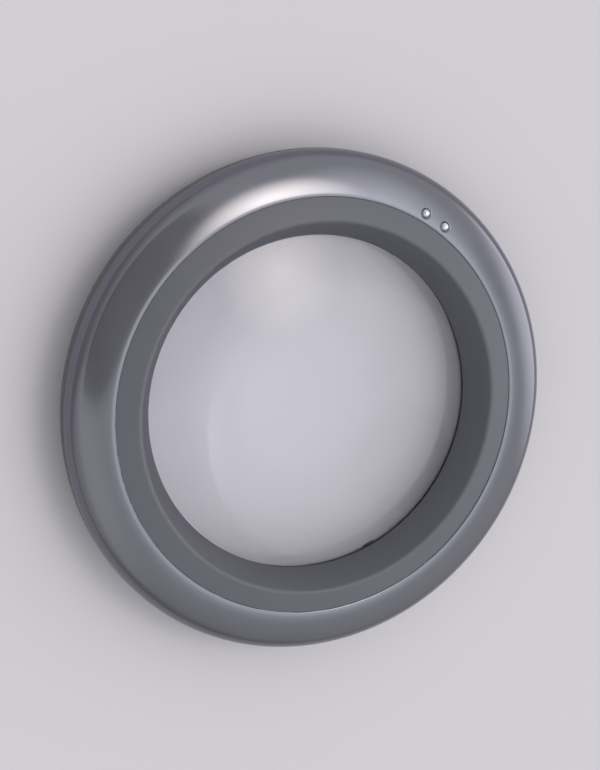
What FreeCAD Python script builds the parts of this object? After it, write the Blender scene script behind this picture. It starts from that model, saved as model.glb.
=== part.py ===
# Illuminated low vision magnifier: a ring that lies on the page around a large clear lens.
#
# Lengths are millimetres. +Z is the lens axis and points up, and the origin is the middle of the
# plane that the four rubber pads rest on. Two metal contacts on the ring light three lamps under
# the lens when a finger bridges them.
#
# Every sub-part is drawn as if its main feature lay along +X. It is then turned about Z to its
# place: the contacts and the circuit board stand at control_angle, and the battery opposite them.

import FreeCAD, Part
import math
import os
import re
from collections import namedtuple

import Sketcher
from FreeCAD import Placement, Rotation, Vector

SIZES = (
    # Lens, and the bezel and seat that hold it.
    ("lens_radius", 35.0),
    ("lens_flange", 2.0),
    ("lens_edge", 2.0),
    ("lens_seat", 7.7),
    ("lens_curve", 122.0),
    ("lens_gap", 0.15),
    ("lens_lap", 1.9),
    ("seat_width", 1.4),
    ("cone_flare", 2.4),
    ("collar_wall", 1.25),
    ("collar_drop", 0.2),
    # Glossy ring, measured inwards from its rim and down from its crease.
    ("ring_width", 8.7),
    ("shoulder_radius", 4.0),
    ("dome_radius", 26.0),
    ("dome_rise", 5.5),
    ("crease_rounding", 0.5),
    ("parting_chamfer", 0.15),
    ("shell_wall", 1.5),
    # Underside of the base.
    ("base_height", 0.8),
    ("base_corner", 3.6),
    ("base_side_in", 5.0),
    # Where the two shells meet.
    ("joint_gap", 0.15),
    ("lip_thickness", 0.9),
    ("lip_height", 1.1),
    ("lip_root", 1.2),
    ("lip_space", 0.25),
    # Ledge inside the top shell, for the bezel.
    ("ledge_thickness", 1.0),
    ("ledge_width", 1.7),
    ("skirt_wall", 1.3),
    # Bezel between the glossy ring and the lens.
    ("bezel_width", 4.6),
    ("bezel_depth", 1.9),
    ("bezel_gap", 0.15),
    ("bezel_drop", 0.2),
    ("bezel_eave", 1.0),
    ("bezel_skirt", 1.25),
    ("bezel_crown", 1.7),
    ("bezel_foot", 1.5),
    ("bezel_rounding", 0.3),
    ("crest_rise", 1.4),
    ("crest_rounding", 0.8),
    # Rubber pads over the case screws.
    ("screw_angle", 45.0),
    ("screw_count", 4),
    ("pad_radius", 3.2),
    ("pad_thickness", 1.2),
    ("pad_gap", 0.2),
    ("pad_rounding", 0.3),
    # Case screws and their bosses.
    ("case_grip", 3.5),
    ("case_boss", 2.4),
    ("case_boss_space", 2.0),
    ("case_head_radius", 1.9),
    ("case_head_height", 1.3),
    ("case_shank", 0.95),
    ("case_screw_length", 8.0),
    ("case_pilot_room", 1.0),
    ("screw_gap", 0.05),
    ("head_gap", 0.2),
    ("boss_overlap", 0.3),
    # Shape of a screw's head.
    ("head_top_share", 0.8),
    ("head_side_share", 0.6),
    ("cross_width", 0.5),
    ("cross_share", 0.7),
    ("cross_depth", 0.6),
    # Metal contacts on the ring.
    ("control_angle", 54.6),
    ("stud_inset", 1.85),
    ("stud_spacing", 5.0),
    ("stud_radius", 0.9),
    ("stud_shank", 0.55),
    ("stud_sink", 1.05),
    ("stud_skirt", 0.1),
    ("stud_tail", 0.7),
    ("stud_recess", 1.2),
    ("stud_boss", 1.6),
    ("stud_boss_drop", 2.6),
    # Circuit board.
    ("board_drop", 1.5),
    ("board_thickness", 1.0),
    ("board_tuck", 2.0),
    ("board_edge_gap", 1.9),
    ("board_end", 2.9),
    ("board_screw_inset", 0.2),
    ("board_screw_angle", 16.0),
    ("board_boss", 1.5),
    ("board_shank", 0.7),
    ("board_head_radius", 1.4),
    ("board_head_height", 0.9),
    ("board_screw_length", 2.6),
    ("chip_inset", 1.3),
    ("chip_length", 2.9),
    ("chip_width", 1.6),
    ("chip_height", 1.1),
    ("resistor_inset", 1.4),
    ("resistor_spacing", 3.2),
    ("resistor_length", 1.6),
    ("resistor_width", 0.8),
    ("resistor_height", 0.45),
    # Lamps under the lens.
    ("lamp_count", 3),
    ("lamp_height", 4.3),
    ("lamp_radius", 1.5),
    ("lamp_peek", 1.2),
    ("lamp_seat", 3.1),
    ("lamp_flange", 1.9),
    ("lamp_flange_thickness", 1.0),
    ("lamp_boss", 3.0),
    ("leg_width", 0.5),
    ("leg_length", 2.5),
    ("leg_spread", 1.27),
    # Button cells, lying on edge in a row across the ring.
    ("cell_radius", 3.95),
    ("cell_thickness", 3.6),
    ("cell_count", 3),
    ("cell_cap_radius", 3.2),
    ("cell_cap_height", 0.25),
    ("cell_rounding", 0.25),
    ("cell_gap", 0.3),
    # Battery box and its contacts.
    ("strip_thickness", 0.3),
    ("strip_width", 4.0),
    ("strip_gap", 0.08),
    ("spring_room", 1.6),
    ("tab_reach", 1.4),
    ("box_space", 0.5),
    ("box_inner_wall", 0.65),
    ("box_outer_wall", 1.15),
    ("box_end_wall", 0.9),
    ("box_roof", 0.8),
    ("roof_inset", 2.0),
    ("roof_gap", 0.2),
    # Battery door and its frame.
    ("door_thickness", 1.4),
    ("door_margin", 0.3),
    ("door_end", 2.9),
    ("door_gap", 0.15),
    ("frame_height", 1.2),
    ("frame_end", 1.2),
    ("lug_reach", 2.55),
    ("door_boss", 1.9),
    ("door_boss_height", 5.2),
    ("door_shank", 0.8),
    ("door_head_radius", 1.55),
    ("door_head_height", 0.8),
    ("door_screw_length", 4.5),
    ("rib_height", 0.2),
    ("rib_width", 1.0),
    # Wires.
    ("battery_wire", 0.9),
    ("battery_wire_inset", 1.25),
    ("tab_lead", 2.0),
    ("lamp_wire", 0.7),
    ("wire_spacing", 1.4),
    ("leg_lead", 2.0),
    ("leg_rise", 1.9),
)

# What follows from the sizes: first distances from the axis, going outwards, then heights, going
# up, and last angles in degrees.
RELATIONS = {
    "view_radius": "lens_radius - lens_lap",
    "cone_top_radius": "lens_radius - seat_width",
    "cone_foot_radius": "cone_top_radius + cone_flare",
    "collar_inner": "lens_radius + lens_gap",
    "collar_outer": "collar_inner + collar_wall",
    "box_inner": "collar_outer + box_space",
    "room_inner": "box_inner + box_inner_wall",
    "cell_place": "room_inner + cell_gap + cell_radius",
    "room_outer": "cell_place + cell_radius + cell_gap",
    "box_outer": "room_outer + box_outer_wall",
    "roof_outer": "box_outer - roof_inset",
    "door_inner": "collar_outer + door_margin",
    "door_outer": "box_outer - door_margin",
    "lip_inner": "box_outer + lip_space",
    "lip_outer": "lip_inner + lip_thickness",
    "side_inner": "lip_outer + joint_gap",
    "rim_radius": "side_inner + shell_wall",
    "base_flat_radius": "rim_radius - base_side_in",
    "crease_radius": "rim_radius - ring_width",
    "crest_radius": "crease_radius - bezel_width",
    "screw_place": "collar_outer + case_boss + case_boss_space",
    "stud_place": "crease_radius + stud_inset",
    "board_inner": "crease_radius - board_tuck",
    "board_outer": "side_inner - board_edge_gap",
    "board_screw_place": "crease_radius + board_screw_inset",
    "chip_place": "board_outer - chip_inset",
    "resistor_place": "board_inner + resistor_inset",
    "battery_wire_place": "lip_inner - battery_wire_inset",
    "lamp_wire_place": "battery_wire_place - wire_spacing",
    "floor_top": "base_height + shell_wall",
    "box_start": "floor_top - boss_overlap",
    "door_top": "base_height + door_thickness",
    "cell_height": "door_top + rib_height + cell_gap + cell_radius",
    "roof_bottom": "cell_height + cell_radius + cell_gap",
    "tab_height": "roof_bottom - strip_thickness",
    "ledge_bottom": "roof_bottom + box_roof + roof_gap",
    "ledge_top": "ledge_bottom + ledge_thickness",
    "crease_height": "ledge_top + bezel_depth",
    "crest_height": "crease_height + crest_rise",
    "rim_height": "crease_height - dome_rise",
    "lens_top": "lens_seat + lens_edge",
    "cone_height": "lens_seat - base_height",
    "case_head_top": "pad_thickness + case_head_height",
    "case_joint": "case_head_top + case_grip",
    "case_pilot_top": "case_head_top + case_screw_length + case_pilot_room",
    "stud_seat": "crease_height - stud_sink",
    "board_top": "ledge_bottom - board_drop",
    "board_bottom": "board_top - board_thickness",
    "side_drop": "rim_height - base_height - base_corner",
    "side_arc": "(base_side_in ^ 2 + side_drop ^ 2 - base_corner ^ 2) / (2 * (base_side_in - base_corner))",
    "stack_half": "cell_count * cell_thickness / 2",
    "box_end_plus": "stack_half + strip_gap + strip_thickness",
    "box_end_minus": "stack_half + strip_gap + spring_room",
    "tab_end": "(cell_place + strip_width / 2) * tan(box_half_angle) + tab_reach",
    "lamp_across": "cone_foot_radius - cone_flare * (lamp_height - base_height) / cone_height",
    "lamp_tilt": "atan(cone_flare / cone_height)",
    "stud_angle": "asin(stud_spacing / 2 / stud_place) / (1 deg)",
    "resistor_angle": "asin(resistor_spacing / resistor_place) / (1 deg)",
    "board_half_angle": "board_screw_angle + atan(board_end / board_screw_place) / (1 deg)",
    "box_half_angle": "atan((box_end_minus + box_end_wall) / room_inner) / (1 deg)",
    "door_screw_angle": "box_half_angle + atan(lug_reach / cell_place) / (1 deg)",
    "door_half_angle": "door_screw_angle + atan(door_end / cell_place) / (1 deg)",
    "lug_half_angle": "door_screw_angle + atan(door_boss / cell_place) / (1 deg)",
    "opening_half_angle": "door_half_angle + atan(door_gap / cell_place) / (1 deg)",
    "frame_half_angle": "door_half_angle + atan(frame_end / cell_place) / (1 deg)",
}

# A corner of an outline. Where across, up or arc is a plain number instead of an expression, it is
# only the first guess for a size that follows from the rest of the outline.
Corner = namedtuple("Corner", "across up arc turn centre over smooth",
                    defaults=(None, 1, (None, None), None, False))

# Sub-parts that are two wires side by side.
PAIRS = ("lamp_legs", "lamp_wire")

doc = FreeCAD.newDocument("Magnifier")
sheet = doc.addObject("Spreadsheet::Sheet", "Sizes")
for row, (alias, number) in enumerate(SIZES, 1):
    sheet.set(f"A{row}", alias)
    sheet.set(f"B{row}", str(number))
    sheet.setAlias(f"B{row}", alias)
doc.recompute()
ALIASES = {alias for alias, number in SIZES}


def bound(words):
    """Return an expression in which nothing but sizes of the sheet is left, named in full."""
    def in_full(hit):
        if hit[0] in RELATIONS:
            return f"({bound(RELATIONS[hit[0]])})"
        return f"Sizes.{hit[0]}" if hit[0] in ALIASES else hit[0]
    return re.sub(r"[a-z_]+", in_full, words)


def value(words):
    """Return what an expression gives now, as a plain number."""
    answer = sheet.evalExpression(bound(words))
    return float(getattr(answer, "Value", answer))


def start(size):
    """Return a first value for the solver: a size's own, or a guess given as a number."""
    return value(size) if isinstance(size, str) else size


def new_body(label, turn="control_angle"):
    """Return an empty body that is turned about Z by an expression."""
    body = doc.addObject("PartDesign::Body", label)
    body.Label = label
    body.Placement = Placement(Vector(), Rotation(Vector(0, 0, 1), 1))
    body.setExpression("Placement.Rotation.Angle", bound(f"({turn}) * 1 deg"))
    return body


def new_sketch(body, name, plane="XY_Plane", at=("0", "0", "0"), tilt=None):
    """Return a sketch on one of the body's own planes, moved and tilted by expressions."""
    sketch = body.newObject("Sketcher::SketchObject", f"{body.Label}_{name}")
    planes = {feature.Role: feature for feature in body.Origin.OriginFeatures}
    sketch.AttachmentSupport = [(planes[plane], "")]
    sketch.MapMode = "FlatFace"
    if tilt:
        axis = Vector(0, 1, 0) if plane == "XY_Plane" else Vector(0, 0, -1)
        sketch.AttachmentOffset = Placement(Vector(), Rotation(axis, 1))
        sketch.setExpression("AttachmentOffset.Rotation.Angle", bound(tilt))
    for letter, words in zip("xyz", at):
        sketch.setExpression(f"AttachmentOffset.Base.{letter}", bound(words))
    return sketch


def pin(sketch, kind, edge, end, size):
    """Hold one coordinate of a point at the value of an expression."""
    if not isinstance(size, str):
        return
    if abs(value(size)) < 1e-9:
        axis = -2 if kind == "DistanceX" else -1
        sketch.addConstraint(Sketcher.Constraint("PointOnObject", edge, end, axis))
        return
    number = sketch.addConstraint(Sketcher.Constraint(kind, -1, 1, edge, end, value(size)))
    sketch.setExpression(f"Constraints[{number}]", bound(size))


def hold_radius(sketch, edge, size):
    """Hold the radius of an arc or a circle at the value of an expression."""
    if isinstance(size, str):
        number = sketch.addConstraint(Sketcher.Constraint("Radius", edge, value(size)))
        sketch.setExpression(f"Constraints[{number}]", bound(size))


def arc_between(first, last, radius, turn):
    """Return the short arc between two points, counter-clockwise where turn is 1."""
    chord = last - first
    rise = math.sqrt(max(radius ** 2 - chord.Length ** 2 / 4, 0))
    side = Vector(-chord.y, chord.x, 0).normalize() * rise * turn
    centre = (first + last) / 2 + side
    low, high = (first, last) if turn > 0 else (last, first)
    angles = [math.atan2(spot.y - centre.y, spot.x - centre.x) for spot in (low, high)]
    if angles[1] < angles[0]:
        angles[1] += 2 * math.pi
    return Part.ArcOfCircle(Part.Circle(centre, Vector(0, 0, 1), radius), *angles)


def outline(body, name, corners, **place):
    """Return a closed sketch through the corners, each size in it bound to the sheet."""
    sketch = new_sketch(body, name, **place)
    spots = [Vector(start(corner.across), start(corner.up), 0) for corner in corners]
    count = len(corners)
    heads = [2 if corner.arc is not None and corner.turn < 0 else 1 for corner in corners]
    for index, corner in enumerate(corners):
        first, last = spots[index], spots[(index + 1) % count]
        if corner.arc is None:
            sketch.addGeometry(Part.LineSegment(first, last))
        else:
            sketch.addGeometry(arc_between(first, last, start(corner.arc), corner.turn))
    for index, corner in enumerate(corners):
        before = (index - 1) % count
        kind = "Tangent" if corner.smooth else "Coincident"
        sketch.addConstraint(Sketcher.Constraint(kind, before, 3 - heads[before], index, heads[index]))
    for index, corner in enumerate(corners):
        pin(sketch, "DistanceX", index, heads[index], corner.across)
        pin(sketch, "DistanceY", index, heads[index], corner.up)
        if corner.arc is not None:
            hold_radius(sketch, index, corner.arc)
            pin(sketch, "DistanceX", index, 3, corner.centre[0])
            pin(sketch, "DistanceY", index, 3, corner.centre[1])
        if corner.over is not None:
            sketch.addConstraint(Sketcher.Constraint("Vertical", index, 3, corner.over, 3))
    return solved(sketch)


def discs(body, name, spots, radius, **place):
    """Return a sketch of equal circles at the spots."""
    sketch = new_sketch(body, name, **place)
    for edge, (across, up) in enumerate(spots):
        centre = Vector(value(across), value(up), 0)
        sketch.addGeometry(Part.Circle(centre, Vector(0, 0, 1), value(radius)))
        pin(sketch, "DistanceX", edge, 3, across)
        pin(sketch, "DistanceY", edge, 3, up)
        hold_radius(sketch, edge, radius)
    return solved(sketch)


def solved(sketch):
    """Return the sketch once its constraints agree."""
    if sketch.solve() != 0:
        raise RuntimeError(f"{sketch.Label} does not solve")
    doc.recompute()
    return sketch


def box_corners(left, right, low, high):
    """Return the corners of a rectangle."""
    return [Corner(left, low), Corner(right, low), Corner(right, high), Corner(left, high)]


def sector_corners(inner, outer, half_angle):
    """Return the corners of a piece of a flat ring, centred on +X."""
    return [
        Corner(f"{inner} * cos({half_angle})", f"-{inner} * sin({half_angle})"),
        Corner(f"{outer} * cos({half_angle})", f"-{outer} * sin({half_angle})", arc=outer),
        Corner(f"{outer} * cos({half_angle})", f"{outer} * sin({half_angle})"),
        Corner(f"{inner} * cos({half_angle})", f"{inner} * sin({half_angle})", arc=inner, turn=-1),
    ]


def polar(ring, *angles):
    """Return sketch spots on a circle about the origin, at angles in degrees."""
    return [(f"{ring} * cos({angle})", f"{ring} * sin({angle})") for angle in angles]


def feature(body, kind, sketch, name, settings=(), sizes=(), removes=False):
    """Add a feature made from a sketch, and check that it adds or removes material."""
    before = body.Tip.Shape.Volume if body.Tip else 0.0
    item = body.newObject(f"PartDesign::{kind}", f"{body.Label}_{name}")
    item.Profile = sketch
    for setting, choice in settings:
        setattr(item, setting, choice)
    for setting, words in sizes:
        item.setExpression(setting, bound(words))
    body.Tip = item
    doc.recompute()
    change = item.Shape.Volume - before
    if abs(change) < 1e-6 or (change < 0) != removes:
        raise RuntimeError(f"{item.Label} changes the volume by {change}")
    return item


def pad(body, sketch, name, length, down=False):
    """Pad a sketch along its normal, or against it."""
    return feature(body, "Pad", sketch, name, [("Reversed", down)], [("Length", length)])


def pocket(body, sketch, name, length, up=False):
    """Cut a sketch against its normal, or along it."""
    return feature(body, "Pocket", sketch, name, [("Reversed", up)], [("Length", length)], True)


def revolve(body, sketch, name, removes=False, angle="360"):
    """Turn a sketch about its own vertical axis."""
    kind = "Groove" if removes else "Revolution"
    settings = [("ReferenceAxis", (sketch, ["V_Axis"])), ("Midplane", True)]
    return feature(body, kind, sketch, name, settings, [("Angle", angle)], removes)


def repeat(body, item, name, count):
    """Repeat a feature evenly about Z."""
    pattern = body.newObject("PartDesign::PolarPattern", f"{body.Label}_{name}")
    axes = {origin.Role: origin for origin in body.Origin.OriginFeatures}
    pattern.Originals = [item]
    pattern.Axis = (axes["Z_Axis"], [""])
    pattern.Angle = 360
    pattern.setExpression("Occurrences", bound(count))
    body.Tip = pattern
    doc.recompute()
    return pattern


def soften(body, kind, name, size, rings):
    """Fillet or chamfer the round edges at the given radius and height."""
    wanted = [(value(radius), value(height)) for radius, height in rings]
    base = body.Tip
    names = []
    for number, edge in enumerate(base.Shape.Edges, 1):
        if not isinstance(edge.Curve, Part.Circle):
            continue
        found = (edge.Curve.Radius, edge.Curve.Center.z)
        if any(math.dist(found, place) < 1e-3 for place in wanted):
            names.append(f"Edge{number}")
    if len(names) < len(wanted):
        raise RuntimeError(f"{body.Label} has no edge for {name}")
    item = body.newObject(f"PartDesign::{kind}", f"{body.Label}_{name}")
    item.Base = (base, names)
    item.setExpression("Radius" if kind == "Fillet" else "Size", bound(size))
    body.Tip = item
    doc.recompute()
    return item


def make_top_shell():
    """Glossy upper shell: a domed ring with a ledge for the bezel and bosses for the screws."""
    body = new_body("top_shell")
    section = [
        Corner("rim_radius", "rim_height", arc="shoulder_radius", centre=(None, "rim_height")),
        Corner(value("rim_radius - 0.6 * shoulder_radius"), value("rim_height + 0.92 * shoulder_radius"),
               arc="dome_radius", smooth=True),
        Corner("crease_radius", "crease_height"),
        Corner("crease_radius", "ledge_top"),
        Corner("crease_radius - ledge_width", "ledge_top"),
        Corner("crease_radius - ledge_width", "ledge_bottom"),
        Corner("crease_radius + skirt_wall", "ledge_bottom"),
        Corner("crease_radius + skirt_wall", value("crease_height - 1.3 * shell_wall"),
               arc="dome_radius - shell_wall", turn=-1, over=1),
        Corner(value("side_inner - 0.6 * (shoulder_radius - shell_wall)"),
               value("rim_height + 0.92 * (shoulder_radius - shell_wall)"),
               arc="shoulder_radius - shell_wall", turn=-1, centre=(None, "rim_height"), smooth=True),
        Corner("side_inner", "rim_height"),
    ]
    revolve(body, outline(body, "section", section, plane="XZ_Plane"), "ring")
    seat = box_corners("lip_inner", "side_inner", "rim_height", "rim_height + lip_height + joint_gap")
    revolve(body, outline(body, "lip_seat", seat, plane="XZ_Plane"), "lip_groove", removes=True)
    soften(body, "Fillet", "crease_edge", "crease_rounding", [("crease_radius", "crease_height")])
    soften(body, "Chamfer", "rim_edge", "parting_chamfer", [("rim_radius", "rim_height")])

    screw_spot = polar("screw_place", "screw_angle")
    boss = discs(body, "case_boss_plan", screw_spot, "case_boss", at=("0", "0", "case_joint"))
    item = pad(body, boss, "case_boss", "ledge_bottom - case_joint + boss_overlap")
    repeat(body, item, "case_bosses", "screw_count")
    pilot = discs(body, "case_pilot_plan", screw_spot, "case_shank + screw_gap",
                  at=("0", "0", "case_joint"))
    item = pocket(body, pilot, "case_pilot", "case_pilot_top - case_joint", up=True)
    repeat(body, item, "case_pilots", "screw_count")

    stud_spots = polar("stud_place", "stud_angle", "-stud_angle")
    boss = discs(body, "stud_boss_plan", stud_spots, "stud_boss",
                 at=("0", "0", "stud_seat - stud_boss_drop"))
    pad(body, boss, "stud_bosses", "stud_boss_drop")
    recess = discs(body, "stud_recess_plan", stud_spots, "stud_recess", at=("0", "0", "stud_seat"))
    pocket(body, recess, "stud_recesses", "stud_boss_drop", up=True)
    bore = discs(body, "stud_bore_plan", stud_spots, "stud_shank + screw_gap",
                 at=("0", "0", "stud_seat"))
    pocket(body, bore, "stud_bores", "stud_boss_drop + boss_overlap")

    board_spots = polar("board_screw_place", "board_screw_angle", "-board_screw_angle")
    boss = discs(body, "board_boss_plan", board_spots, "board_boss", at=("0", "0", "board_top"))
    pad(body, boss, "board_bosses", "board_drop + boss_overlap")
    pilot = discs(body, "board_pilot_plan", board_spots, "board_shank + screw_gap",
                  at=("0", "0", "board_top"))
    pocket(body, pilot, "board_pilots", "board_screw_length - board_thickness + boss_overlap", up=True)


def make_inner_bezel():
    """Matt bezel: a sloping top, a crest and a conical wall that holds the lens down."""
    body = new_body("inner_bezel")
    crown = "(crest_height - bezel_crown)"
    lean = "(crest_radius - view_radius) / (crest_height - lens_top)"
    outside = "crease_radius - bezel_gap"
    section = [
        Corner(outside, "crease_height - bezel_drop"),
        Corner("crest_radius", "crest_height"),
        Corner("view_radius", "lens_top"),
        Corner("view_radius + bezel_foot", "lens_top"),
        Corner(f"view_radius + bezel_foot + ({crown} - lens_top) * {lean}", crown),
        Corner(f"{outside} - bezel_skirt", "crease_height - bezel_drop - bezel_eave"),
        Corner(f"{outside} - bezel_skirt", "ledge_top"),
        Corner(outside, "ledge_top"),
    ]
    revolve(body, outline(body, "section", section, plane="XZ_Plane"), "ring")
    soften(body, "Fillet", "crest_edge", "crest_rounding", [("crest_radius", "crest_height")])
    edges = [(outside, "crease_height - bezel_drop"), ("view_radius", "lens_top")]
    soften(body, "Fillet", "edges", "bezel_rounding", edges)


def make_lens():
    """Clear biconvex lens with a flat flange all round."""
    body = new_body("lens")
    optic = "(lens_radius - lens_flange)"
    sag = f"(lens_curve - sqrt(lens_curve ^ 2 - {optic} ^ 2))"
    section = [
        Corner("0", f"lens_seat - {sag}", arc="lens_curve"),
        Corner(optic, "lens_seat"),
        Corner("lens_radius", "lens_seat"),
        Corner("lens_radius", "lens_top"),
        Corner(optic, "lens_top", arc="lens_curve"),
        Corner("0", f"lens_top + {sag}"),
    ]
    revolve(body, outline(body, "section", section, plane="XZ_Plane"), "glass")


def add_base_ring(body):
    """Draw the base's own shape: rounded side, flat underside, flared inside and lens collar."""
    collar_top = "lens_top - collar_drop"
    along = value("(side_arc - base_side_in) / (side_arc - base_corner)")
    below = value("side_drop / (side_arc - base_corner)")
    corner_centre = value("base_flat_radius"), value("base_height + base_corner")
    outside, inside = value("base_corner"), value("base_corner - shell_wall")
    section = [
        Corner("rim_radius", "rim_height", arc=value("side_arc"), turn=-1, centre=(None, "rim_height")),
        Corner(corner_centre[0] + outside * along, corner_centre[1] - outside * below,
               arc="base_corner", turn=-1, smooth=True),
        Corner("base_flat_radius", "base_height", smooth=True),
        Corner("cone_foot_radius", "base_height"),
        Corner("cone_top_radius", "lens_seat"),
        Corner("collar_inner", "lens_seat"),
        Corner("collar_inner", collar_top),
        Corner("collar_outer", collar_top),
        Corner("collar_outer", "floor_top"),
        Corner("base_flat_radius", "floor_top", arc="base_corner - shell_wall", turn=1, smooth=True),
        Corner(corner_centre[0] + inside * along, corner_centre[1] - inside * below,
               arc=value("side_arc - shell_wall"), turn=1, centre=(None, "rim_height"), smooth=True),
        Corner("side_inner", "rim_height"),
    ]
    revolve(body, outline(body, "section", section, plane="XZ_Plane"), "ring")
    lip = [
        Corner("lip_inner", "rim_height - lip_root"),
        Corner("side_inner + boss_overlap", "rim_height - lip_root"),
        Corner("side_inner + boss_overlap", "rim_height"),
        Corner("lip_outer", "rim_height"),
        Corner("lip_outer", "rim_height + lip_height"),
        Corner("lip_inner", "rim_height + lip_height"),
    ]
    revolve(body, outline(body, "lip_section", lip, plane="XZ_Plane"), "lip")
    soften(body, "Chamfer", "rim_edge", "parting_chamfer", [("rim_radius", "rim_height")])


def add_case_holes(body):
    """Add the case screw bosses, their holes and the recesses of the rubber pads."""
    spot = polar("screw_place", "screw_angle")
    boss = discs(body, "case_boss_plan", spot, "case_boss", at=("0", "0", "box_start"))
    item = pad(body, boss, "case_boss", "case_joint - joint_gap - box_start")
    repeat(body, item, "case_bosses", "screw_count")
    holes = (
        ("pad_recess", "pad_radius + pad_gap", "pad_thickness"),
        ("head_bore", "case_head_radius + head_gap", "case_head_top"),
        ("shank_hole", "case_shank + head_gap", "case_joint"),
    )
    for name, radius, top in holes:
        hole = discs(body, f"{name}_plan", spot, radius)
        repeat(body, pocket(body, hole, name, top, up=True), f"{name}_set", "screw_count")


def add_lamp_holders(body):
    """Add the slanted holders that the lamps are pushed into, and their holes."""
    place = {"at": ("-lamp_across", "0", "lamp_height"), "tilt": "lamp_tilt - 90 deg"}
    root = ("-(lamp_across + boss_overlap * cos(lamp_tilt))", "0",
            "lamp_height + boss_overlap * sin(lamp_tilt)")
    holder = discs(body, "lamp_boss_plan", [("0", "0")], "lamp_boss", at=root, tilt=place["tilt"])
    repeat(body, pad(body, holder, "lamp_boss", "lamp_seat - boss_overlap"), "lamp_bosses", "lamp_count")
    hole = discs(body, "lamp_hole_plan", [("0", "0")], "lamp_radius + screw_gap", **place)
    settings = [("Midplane", True)]
    item = feature(body, "Pocket", hole, "lamp_hole", settings, [("Length", "4 * lamp_seat")], True)
    repeat(body, item, "lamp_holes", "lamp_count")


def add_battery_box(body):
    """Add the battery box, still solid, with its roof, the door's frame and the lugs for its screws."""
    walls = sector_corners("box_inner", "box_outer", "box_half_angle")
    sketch = outline(body, "box_plan", walls, at=("0", "0", "box_start"))
    pad(body, sketch, "box_walls", "tab_height - box_start")
    lugs = sector_corners("(cell_place - door_boss)", "(cell_place + door_boss)", "lug_half_angle")
    sketch = outline(body, "door_lug_plan", lugs, at=("0", "0", "base_height + shell_wall / 2"))
    pad(body, sketch, "door_lugs", "shell_wall / 2 + door_boss_height")
    frame = sector_corners("(collar_outer - boss_overlap)", "box_outer", "frame_half_angle")
    sketch = outline(body, "door_frame_plan", frame, at=("0", "0", "box_start"))
    pad(body, sketch, "door_frame", "boss_overlap + frame_height")
    roof = sector_corners("box_inner", "roof_outer", "box_half_angle")
    sketch = outline(body, "roof_plan", roof, at=("0", "0", "tab_height - boss_overlap"))
    pad(body, sketch, "box_top", "boss_overlap + strip_thickness + box_roof")


def cut_battery_box(body):
    """Cut the room for the cells, the slots of the contacts, the door's opening and its pilot holes."""
    room = box_corners("room_inner", "room_outer", "-box_end_minus", "box_end_plus")
    pocket(body, outline(body, "room_plan", room), "cell_room", "roof_bottom", up=True)
    half = "(strip_width / 2 + strip_gap)"
    for name, low, high in (("plus", "stack_half", "tab_end"), ("minus", "-tab_end", "-stack_half")):
        slot = box_corners(f"cell_place - {half}", f"cell_place + {half}", low, high)
        sketch = outline(body, f"{name}_slot_plan", slot, at=("0", "0", "tab_height"))
        pocket(body, sketch, f"{name}_slot", "strip_thickness + boss_overlap + box_roof", up=True)
    opening = sector_corners("(door_inner - door_gap)", "(door_outer + door_gap)", "opening_half_angle")
    pocket(body, outline(body, "door_plan", opening), "door_opening", "door_top + screw_gap", up=True)
    spots = polar("cell_place", "door_screw_angle", "-door_screw_angle")
    pilot = discs(body, "door_pilot_plan", spots, "door_shank + screw_gap")
    pocket(body, pilot, "door_pilots", "door_top + door_screw_length", up=True)


def make_base_shell():
    """Lower shell: carries the lens, the lamps, the battery box and the rubber pads."""
    body = new_body("base_shell", "control_angle + 180")
    add_battery_box(body)
    add_base_ring(body)
    add_case_holes(body)
    add_lamp_holders(body)
    cut_battery_box(body)


def make_foot_pad(label, turn):
    """Round rubber pad that covers a case screw."""
    body = new_body(label, turn)
    plan = discs(body, "plan", polar("screw_place", "0"), "pad_radius")
    pad(body, plan, "disc", "pad_thickness")
    soften(body, "Fillet", "edge", "pad_rounding", [("pad_radius", "0")])


def make_screw(label, turn, ring, seat, head_radius, head_height, shank, length):
    """Pan-head screw that points up, with a cross recess in its head."""
    body = new_body(label, turn)
    section = [
        Corner("0", f"{seat} - {head_height}"),
        Corner(f"{head_radius} * head_top_share", f"{seat} - {head_height}"),
        Corner(head_radius, f"{seat} - {head_height} * head_side_share"),
        Corner(head_radius, seat),
        Corner(shank, seat),
        Corner(shank, f"{seat} + {length} - {shank}"),
        Corner("0", f"{seat} + {length}"),
    ]
    revolve(body, outline(body, "section", section, plane="XZ_Plane", at=(ring, "0", "0")), "screw")
    for name, along, beside in (("slot_a", "cross_share", None), ("slot_b", None, "cross_share")):
        half_x = f"{head_radius} * {along}" if along else "cross_width / 2"
        half_y = f"{head_radius} * {beside}" if beside else "cross_width / 2"
        slot = box_corners(f"{ring} - {half_x}", f"{ring} + {half_x}", f"-{half_y}", half_y)
        sketch = outline(body, f"{name}_plan", slot, at=("0", "0", f"{seat} - {head_height}"))
        pocket(body, sketch, name, "cross_depth", up=True)


def make_touch_stud(label, turn):
    """Metal contact: a domed head in its recess, and a shank down to the circuit board."""
    body = new_body(label, turn)
    top = "(stud_seat + stud_skirt + stud_radius)"
    section = [
        Corner("0", "board_bottom - stud_tail"),
        Corner("stud_shank", "board_bottom - stud_tail"),
        Corner("stud_shank", "stud_seat"),
        Corner("stud_radius", "stud_seat"),
        Corner("stud_radius", "stud_seat + stud_skirt", arc="stud_radius"),
        Corner("0", top),
    ]
    revolve(body, outline(body, "section", section, plane="XZ_Plane", at=("stud_place", "0", "0")), "stud")


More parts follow.
